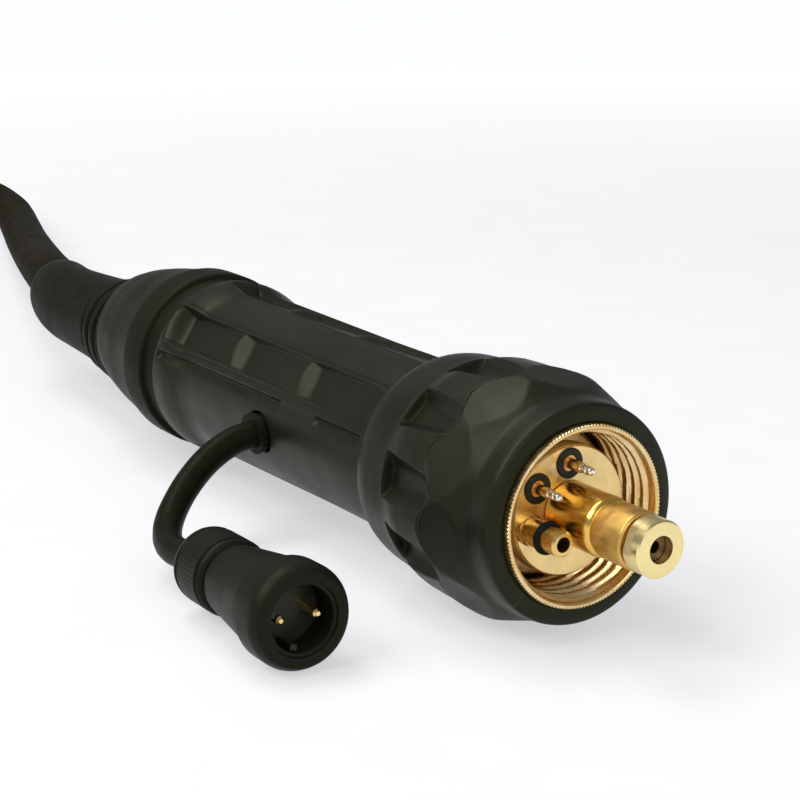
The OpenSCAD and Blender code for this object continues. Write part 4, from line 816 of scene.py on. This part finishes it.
def cable_boot():
    profile = rounded([
        [-176.6, 14.2], [-186.0, 14.2], [-212.0, 14.2], [-214.0, 16.3],
        [-217.4, 16.75, 0.5], [-218.1, 14.4, 0.5], [-219.7, 14.3, 0.5],
        [-220.4, 16.1, 0.6], [-223.4, 16.0, 0.6], [-224.1, 13.9, 0.5],
        [-225.7, 13.8, 0.5], [-226.4, 15.4, 0.6], [-229.2, 15.2, 0.6],
        [-229.9, 13.4, 0.5], [-231.3, 13.3, 0.5], [-232.4, 14.2, 0.8],
        [-237.0, 13.7, 2], [-245, 13.2, 3], [-257, 12.6, 4], [-268, 12.2, 4],
        [-277, 11.7, 3], [-284, 11.1, 2], [-287.6, 10.4, 1.2], [-288.9, 9.5, 0.5],
        [-289.0, 8.6]], 0.5, 3)
    fine = []
    for (x0, r0), (x1, r1) in zip(profile, profile[1:]):
        steps = max(1, int(abs(x1 - x0) / 1.5))
        fine += [(x0 + (x1 - x0) * s / steps, r0 + (r1 - r0) * s / steps)
                 for s in range(steps)]
    fine.append(profile[-1])
    centres = [boot_axis(x) for x, r in fine]
    ways = [boot_axis(x - 0.5) - boot_axis(x + 0.5) for x, r in fine]
    points, faces = loft(centres, ways, [r for x, r in fine], 72)
    finish_mesh("strain_boot", points, faces, "boot_rubber", "torch", ["cable_boot"],
                angle=45)


cable_boot()


# ---- Two-pin plug ----

def plug_place():
    side = Vector((0, 0, 1)).cross(PLUG_WAY).normalized()
    return shift(PLUG_AT) @ axes_turn(PLUG_WAY, side, PLUG_WAY.cross(side))


def plug():
    place = plug_place()
    count = 360
    a = clock_steps(count)
    turned("plug_collar", [
        [-9.3, 9.42], [-9.3, 11.5, 0.4], [-8.9, 12.05, 0.5], [-2.4, 12.1, 1.2],
        [-0.3, 11.0, 0.6], [0, 10.2, 0.4], [0, 8.5, 0.3], [-1.9, 8.1, 0.2],
        [-1.9, 9.42]], "plug_plastic", "plug_ring", 0.2, 128, loop=True,
        hides=["plug_ring"], slot="nut_plastic", place=place)
    knurl = 0.03 * ripple(60, a)
    rows = [(-32.98, 0.0), (-32.98, 7.5), (-32.7, 7.95), (-31.9, 8.3)]
    for x in np.arange(-31.5, -13.2, 0.6):
        taper = 8.3 + (x + 32.4) / 19.8 * 2.55
        band = between(x, (-29.5, -28.5), (-17.5, -16.5))
        rows.append((x, taper - knurl * band))
    rows += [(-12.8, 10.85), (-10.9, 11.0), (-10.2, 11.0), (-9.7, 10.75), (-9.6, 10.4),
             (-9.6, 9.3), (-0.8, 9.3), (-0.8, 7.6), (-16.5, 7.6), (-16.5, 0.0)]
    turn_rows("plug_barrel", rows, count, "plug_plastic", "torch", loop=False,
              hides=["plug_shell"], slot="nut_plastic", place=place, angle=40)
    knurl = 0.06 * ripple(48, a)
    rows = [(-50.03, 0.0), (-50.03, 4.6), (-49.9, 5.6), (-49.0, 7.4), (-48, 8.3),
            (-46.8, 8.9), (-46, 9.1)]
    for x in np.arange(-45.6, -34.4, 0.35):
        groove = sum(math.exp(-((x - g) / 0.45) ** 4) for g in (-45.2, -35.2))
        band = between(x, (-44.4, -43.6), (-37.0, -36.2))
        rows.append((x, 9.2 - 0.7 * min(1, groove) - knurl * band))
    rows += [(-34.2, 9.15), (-33.6, 8.85), (-33.2, 8.4), (-33.0, 7.6), (-33.0, 0.0)]
    turn_rows("plug_gland", rows, count, "plug_plastic", "torch", loop=False,
              hides=["plug_cap"], slot="boot_rubber", place=place, angle=40)


plug()


# ---- Kept CAD nodes ----

# node, material and the width of its eased edges
for kept in (
        ("plug_insert", "insulator_black", 0.15), ("plug_pins", "plug_gold", 0.15),
        ("plug_body", "turned_brass"), ("liner_nut", "pale_brass", 0.25),
        ("wire_liner", "liner_steel", 0.1), ("gas_nipple", "golden_brass", 0.1),
        ("gas_seal", "seal_rubber"), ("pin_insulators", "insulator_black", 0.1),
        ("contact_barrels", "contact_copper", 0.1),
        ("housing_screws", "screw_steel", 0.15), ("cable_ferrule", "ferrule_metal"),
        ("cable_end", "cable_rubber"), ("cable_core", "copper"),
        ("lead_grommet", "boot_rubber", 0.3), ("handle_screws", "screw_steel", 0.15),
        ("trigger_pivot", "screw_steel", 0.2), ("switch_body", "insulator_black", 0.3),
        ("switch_button", "button_red", 0.3), ("handle_cable_end", "cable_rubber"),
        ("neck_block", "golden_brass", 0.2), ("neck_tube", "copper"),
        ("nozzle_insulator", "insulator_pale", 0.2),
        ("gas_diffuser", "golden_brass", 0.2), ("contact_tip", "copper", 0.15)):
    keep_cad(*kept)


# ---- Coil ties ----

def tie_path(low_r, high_r, low_z, high_z, grow, corner=5.0):
    """A rounded rectangle round the coil's section, grown by a margin."""
    path = []
    for r, z, start in ((high_r, high_z, 0), (low_r, high_z, 90), (low_r, low_z, 180),
                        (high_r, low_z, 270)):
        centre_r = r + (grow - corner if r == high_r else corner - grow)
        centre_z = z + (grow - corner if z == high_z else corner - grow)
        for s in range(9):
            t = math.radians(start + 90 * s / 8)
            path.append((centre_r + corner * math.cos(t),
                         centre_z + corner * math.sin(t)))
    return path


def coil_ties():
    """Two fabric bands round all turns of the coil."""
    half, thick, slack = 8.0, 1.15, 0.32
    low_z = TABLE_Z + COIL_LIFT
    box = (INNER_R - CLIMB_DIP - CABLE_R, COIL_R + CABLE_R,
           low_z, low_z + COIL_LAYER + 2 * CABLE_R)
    paths = [tie_path(*box, slack), tie_path(*box, slack + thick)]
    section = [(s, 0) for s in np.linspace(-half, half, 9)]
    section += [(s, 1) for s in np.linspace(half - 0.3, 0.3 - half, 9)]
    n, m = len(paths[0]), len(section)
    rings = [list(range(k * m, k * m + m)) for k in range(n)]
    faces = [face for k in range(n) for face in bridge(rings[k], rings[(k + 1) % n])]
    for index, degrees in ((1, 30), (2, 212)):
        cos, sin = math.cos(math.radians(degrees)), math.sin(math.radians(degrees))
        points = []
        for k in range(n):
            for s, layer in section:
                r, z = paths[layer][k]
                points.append((COIL_X + r * cos - s * sin,
                               COIL_Y + r * sin + s * cos, z))
        yield finish_mesh(f"coil_tie_{index}", points, faces, "tie_fabric", "torch",
                          ["coil_ties"])


ties = list(coil_ties())


# ---- Handle ----

HANDLE_PLACE = shift(HANDLE)
HANDLE_LENGTH, HANDLE_HALF_HEIGHT, HANDLE_HALF_WIDTH = 175, 20.5, 18
# share of the length, of the half height and of the half width, then the sag
GRIP = [
    (0, 0.74, 0.78, 0), (0.08, 0.86, 0.9, 0), (0.25, 0.95, 0.98, 0.8),
    (0.45, 1, 1, 1), (0.65, 0.96, 0.98, 0), (0.82, 0.9, 0.94, -1),
    (0.94, 0.78, 0.84, -1), (1, 0.64, 0.72, 0),
]


def grip_ring(turn, side, x, height, width, sag, pull=0.0):
    """Points of one section of a grip half, pull smaller than its outline."""
    s, c, deg = np.sin(turn), np.cos(turn), np.degrees(turn)
    ys = sag + (height - pull) * np.sign(s) * abs(s) ** 0.8
    zs = (width - pull) * abs(c) ** 0.8
    # ribs on the side of the rear half
    zone = (1 - step_up(abs(deg), 30, 38)) * between(x, (28, 34), (76, 82))
    rib = 0.5 + 0.5 * math.cos(2 * math.pi * x / 4.2)
    zs = zs - zone * (0.15 + 0.5 * rib)
    # a fine line along the grip, above and below the ribs
    line = np.exp(-((abs(deg) - 52) / 2.2) ** 2) * between(x, (12, 20), (150, 160))
    zs = np.maximum(zs - 0.35 * line, 0) + 0.06
    # eased parting edge
    seam = np.exp(-((90 - abs(deg)) / 2.0) ** 2)
    ys = ys - np.sign(ys) * 0.35 * seam
    return [(x, y, side * z) for y, z in zip(ys, zs)]


def handle_cutters(side):
    """Points and faces of what is cut out of a grip half."""
    # trigger slot
    yield ([(x, y, z) for x in (97, 151) for y in (-41, -8) for z in (-6.55, 6.55)],
           [(0, 1, 3, 2), (4, 6, 7, 5), (0, 4, 5, 1), (2, 3, 7, 6), (0, 2, 6, 4),
            (1, 5, 7, 3)])
    # bores for cable and neck
    yield revolve([(-2, 0.0), (-2, 8.55), (12, 8.55), (12, 0.0)], 48)
    yield revolve([(160, 0.0), (160, 8.9), (177, 8.9), (177, 0.0)], 48)
    # screw wells
    low, high, r = (9.5, 30, 2.9) if side > 0 else (-30, -13.8, 2.6)
    for x, y in ((22, 10.8), (87.5, -11.5), (87.5, 11.8), (158, 11.2)):
        points, faces = revolve([(low, 0.0), (low, r), (high, r), (high, 0.0)], 32)
        yield [(x + p[2], y - p[1], p[0]) for p in points], faces


def handle_shell(side, name, node):
    """One half of the grip, solid, with its edges eased and its hollows cut."""
    rows = smooth_rows([(x * HANDLE_LENGTH, h * HANDLE_HALF_HEIGHT,
                         w * HANDLE_HALF_WIDTH, sag) for x, h, w, sag in GRIP], 1.25)
    sections = [(x, *rows[0][1:], pull) for x, pull in ((0.02, 1.6), (0.35, 0.7))]
    sections += [(1.0, *rows[0][1:], 0.2)] + [tuple(row) for row in rows[2:-2]]
    sections += [(x, *rows[-1][1:], pull)
                 for x, pull in ((174.1, 0.2), (174.7, 0.7), (174.98, 1.6))]
    steps = 72
    turn = np.radians(np.linspace(-90, 90, steps + 1))
    points, rings = [], []
    for section in sections:
        rings.append(list(range(len(points), len(points) + steps + 1)))
        points += grip_ring(turn, side, *section)
    faces = []
    for near, far in zip(rings, rings[1:]):
        faces += [(near[k], far[k], far[k + 1], near[k + 1]) for k in range(steps)]
        faces.append((near[0], near[-1], far[-1], far[0]))
    faces += [tuple(rings[0]), tuple(rings[-1])]
    shell = finish_mesh(name, points, faces, "handle_plastic", "torch", [node],
                        place=HANDLE_PLACE, angle=35)
    cutters = []
    for cutter in handle_cutters(side):
        cut = add_object("cut", build_mesh("cut", *cutter))
        cut.matrix_world = HANDLE_PLACE
        cutters.append(cut)
        modifier = shell.modifiers.new("cut", "BOOLEAN")
        modifier.object = cut
        modifier.operation = "DIFFERENCE"
        modifier.solver = "EXACT"
    bpy.context.view_layer.update()
    graph = bpy.context.evaluated_depsgraph_get()
    done = bpy.data.meshes.new_from_object(shell.evaluated_get(graph))
    shell.modifiers.clear()
    shell.data = done
    smooth(done, 32)
    for cut in cutters:
        bpy.data.objects.remove(cut)


handle_shell(1, "handle_shell_a", "handle_upper")
handle_shell(-1, "handle_shell_b", "handle_lower")


def across_handle(x, y, profile, size, count, loop, x_scale=1, y_scale=1):
    """A turned shape that lies across the handle, about an axis along Z."""
    points, faces = revolve(rounded(profile, size), count, loop)
    return [(x + x_scale * p[2], y - y_scale * p[1], p[0]) for p in points], faces


TRIGGER_INNER = -17.1
TRIGGER_PIVOT = (103, -14)
TRIGGER_HALF = 6.1


def trigger():
    def add(name, points, faces, **more):
        return finish_mesh(name, points, faces, "trigger_plastic", "trigger",
                           place=HANDLE_PLACE, **more)

    outline = [(x, TRIGGER_INNER + y) for x, y in (
        (100, 1), (106, 0), (145.5, 0), (147, -1.5), (146.2, -5.3), (143.2, -7.5),
        (139, -7.6), (134, -6.9), (129, -6.35), (123, -6.2), (117, -6.6), (111, -6.5),
        (107, -5.4), (103, -4.3), (100, -3.4))]
    points, faces = [], []
    # depth across the handle, and how far the edge is drawn in there
    layers = [(-6.2, 0.9), (-5.9, 0.35), (-5.3, 0.0), (5.3, 0.0), (5.9, 0.35),
              (6.2, 0.9)]
    centre = np.mean(outline, axis=0)
    for z, pull in layers:
        for point in outline:
            d = np.array(point) - centre
            x, y = centre + d * (1 - pull / max(4.0, np.linalg.norm(d)))
            points.append((x, y, z))
    n = len(outline)
    for start in range(0, n * (len(layers) - 1), n):
        faces += [(start + k, start + (k + 1) % n, start + n + (k + 1) % n,
                   start + n + k) for k in range(n)]
    faces += [tuple(range(n)), tuple(range((len(layers) - 1) * n, len(layers) * n))]
    blade = add("trigger_blade", points, faces, hides=["trigger"], angle=50)
    ease_edges(blade, 0.4, 3, 35)
    hub = add("trigger_hub", *across_handle(*TRIGGER_PIVOT, [
        [-TRIGGER_HALF, 1.56], [-TRIGGER_HALF, 3.2], [TRIGGER_HALF, 3.2],
        [TRIGGER_HALF, 1.56]], 0.4, 40, True))
    web = [(100.4, -18.5), (105.6, -18.5), (105.2, -15.2), (100.8, -15.2)]
    points = [(x, y, z) for z in (-TRIGGER_HALF, TRIGGER_HALF) for x, y in web]
    faces = [(0, 1, 2, 3), (4, 5, 6, 7)]
    faces += [(k, (k + 1) % 4, 4 + (k + 1) % 4, 4 + k) for k in range(4)]
    link = add("trigger_link", points, faces)
    for piece in (hub, link):
        ease_edges(piece, 0.2)
    for k in range(5):
        add(f"trigger_rib_{k + 1}", *across_handle(
            113 + 4.2 * k, -23.45, [[-5.0, 0.0], [-5.0, 0.5], [5.0, 0.5], [5.0, 0.0]],
            0.3, 20, False, 1.3, 0.9))


trigger()


BOOT_LENGTH = 60
SLOT_PITCH, SLOT_COUNT = 6.333, 6


def rear_end():
    turned("knuckle", [
        [-14, 8.6], [-14, 12.2], [-12.2, 14.0, 1.2], [-9.6, 14.0, 0.5],
        [-9.2, 13.4, 0.3], [-8.4, 13.4, 0.3], [-8.0, 14.0, 0.5], [-4.2, 14.0, 1],
        [-1.1, 13.0, 0.8], [-0.03, 12.0], [-0.03, 8.6]],
        "handle_plastic", "torch", 0.5, 128, loop=True, hides=["rear_knuckle"],
        place=HANDLE_PLACE)
    count = 144
    a = clock_steps(count)
    rows = [(-59.98, 8.6), (-59.98, 9.3), (-59.6, 9.9), (-59, 10.2)]
    for x in np.arange(-58.4, -17.6, 0.4):
        along = x + BOOT_LENGTH
        radius = 10.2 + (13 - 10.2) / 46 * along
        # slots with a bridge on two sides, a quarter turn on from one to the next
        k, u = divmod(along - 3, SLOT_PITCH)
        cut = between(u, (0.2, 0.7), (2.3, 2.8)) if 0 <= k < SLOT_COUNT else 0
        window = step_up(abs(turn_from(a, 90 * (k % 2), 180)), 12, 16)
        rows.append((x, radius - cut * (0.35 + 1.25 * window)))
    rows += [(-16.6, 12.5), (-14.6, 11.9), (-14.03, 11.6), (-14.03, 8.6)]
    turn_rows("grip_boot", rows, count, "boot_rubber", "torch", hides=["handle_boot"],
              place=HANDLE_PLACE, angle=40)


rear_end()


# ---- Neck and nozzle ----

NECK_START, NECK_BEND_R, NECK_ANGLE = 197, 50, 45
NOSE_PLACE = (shift((-267.645, -138.645, -11.3))
              @ Matrix.Rotation(math.radians(-NECK_ANGLE), 4, "Z"))


def neck():
    centres, ways = [], []
    for x in np.linspace(160, NECK_START, 10)[:-1]:
        centres.append((x, 0, 0))
        ways.append((1, 0, 0))
    for s in range(25):
        t = math.radians(NECK_ANGLE * s / 24)
        centres.append((NECK_START + NECK_BEND_R * math.sin(t),
                        NECK_BEND_R * math.cos(t) - NECK_BEND_R, 0))
        ways.append((math.cos(t), -math.sin(t), 0))
    end = Vector(centres[-1])
    way = Vector(ways[-1])
    for d in (3, 6, 9, 11.2, 11.7, 11.95):
        centres.append(tuple(end + way * d))
        ways.append(tuple(way))
    radii = [8.6] * (len(centres) - 3) + [8.5, 8.2, 7.6]
    points, faces = loft(centres, ways, radii, 64)
    finish_mesh("neck_cover", points, faces, "sleeve_black", "torch", ["neck_sleeve"],
                place=HANDLE_PLACE, angle=40)
    count = 240
    flute = 0.35 * ripple(24, clock_steps(count))
    rows = [(175.02, 8.66), (175.02, 11.4), (175.2, 11.9), (175.6, 12.25),
            (176.2, 12.4)]
    for x in np.arange(176.8, 184.4, 0.5):
        band = between(x, (177.2, 178.4), (183.0, 184.0))
        rows.append((x, 12.4 - 0.05 * (x - 176) - flute * band))
    rows += [(185.5, 11.9), (186.6, 11.6), (188.2, 10.9), (189.6, 10.0), (190.0, 9.5),
             (190.0, 8.66)]
    turn_rows("neck_collar", rows, count, "handle_plastic", "torch",
              hides=["neck_nut"], place=HANDLE_PLACE, angle=40)


def gas_nozzle():
    outside = smooth_rows([(57.5, 12.0), (60, 11.75), (63, 11.2), (66, 10.7),
                           (69, 10.42), (74, 10.2), (80, 10.0), (83.9, 9.9)], 0.8)
    rows = [(14.5, 9.46), (14.5, 11.4), (14.65, 11.8), (15.0, 12.0), (20, 12.0),
            (20.15, 11.85), (20.6, 11.8), (21.05, 11.85), (21.2, 12.0), (56, 12.0)]
    rows += list(outside)
    rows += [(84.3, 9.7), (84.5, 9.3), (84.5, 8.5), (84.2, 8.22), (69.1, 8.2),
             (63, 8.7), (56.5, 9.46)]
    turn_rows("gas_cup", rows, 144, "nozzle_plate", "nozzle", hides=["gas_nozzle"],
              place=NOSE_PLACE, angle=35)


neck()
gas_nozzle()


# ---- Floor, backdrop and light ----

PAPER = (0.965, 0.982, 1.0)
NEAR_GLOW = 0.545


def stage_material():
    """White paper: keeps the shadow near the object and is plain white far off."""
    s = Shader("studio_paper")
    far = s.span(s.length(s.coords), 0, 1, 0.5, 1.3)
    paper = s.ramp(s.noise(40, 4),
                   [(0.3, (0.395, 0.401, 0.408)), (0.7, (0.415, 0.421, 0.428))])
    s.bump((s.noise(900, 3), 2e-5))
    glow = s.math("MULTIPLY", s.seen(), s.span(far, NEAR_GLOW, 1.0, 0.0, 0.8))
    return s.set(Base_Color=s.mix(far, paper, (0.0, 0.0, 0.0)), Roughness=0.9,
                 Specular_IOR_Level=0.0, Emission_Color=(*PAPER, 1),
                 Emission_Strength=glow)


def make_floor():
    size, steps, z = 8.0, 24, (TABLE_Z - 0.05) * MM
    line = [(i / steps - 0.5) * size for i in range(steps + 1)]
    n = steps + 1
    mesh = bpy.data.meshes.new("studio_floor")
    mesh.from_pydata([(x, y, z) for x in line for y in line], [], [
        (i * n + j, (i + 1) * n + j, (i + 1) * n + j + 1, i * n + j + 1)
        for i in range(steps) for j in range(steps)])
    mesh.materials.append(stage_material())
    add_object("studio_floor", mesh)


def make_world():
    scene.world = bpy.data.worlds.new("studio")
    s = Nodes(scene.world)
    height = s.split(s.add("ShaderNodeTexCoord").outputs["Generated"])[2]

    def sky(stops, strength):
        node = s.add("ShaderNodeBackground")
        s.link(s.ramp(height, stops), node.inputs[0])
        node.inputs[1].default_value = strength
        return node.outputs[0]

    mix = s.add("ShaderNodeMixShader")
    s.link(s.seen(), mix.inputs[0])
    s.link(sky([(0.0, (0.75, 0.75, 0.75)), (0.9, (1, 1, 1))], 0.35), mix.inputs[1])
    s.link(sky([(0.02, PAPER), (0.2, (0.24, 0.25, 0.26))], 1.0), mix.inputs[2])
    s.link(mix.outputs[0], s.add("ShaderNodeOutputWorld").inputs[0])


def area_light(name, where, target, size, power):
    data = bpy.data.lights.new(name, "AREA")
    data.shape = "RECTANGLE"
    data.size, data.size_y = size
    data.energy = power
    way = Vector(target) - Vector(where)
    turn = way.to_track_quat("-Z", "Y").to_matrix().to_4x4()
    add_object(name, data).matrix_world = Matrix.Translation(Vector(where)) @ turn


make_floor()
make_world()
# place, target and size in metres, power in watts
area_light("key", (-0.2, -0.9, 0.9), (-0.1, 0, 0), (0.9, 0.6), 9)
area_light("front", (0.9, -0.1, 0.45), (0, 0, 0), (0.6, 0.5), 3.2)
area_light("top", (-0.5, -0.2, 1.1), (-0.1, 0, 0), (0.7, 0.5), 6)

scene.view_settings.view_transform = "Standard"
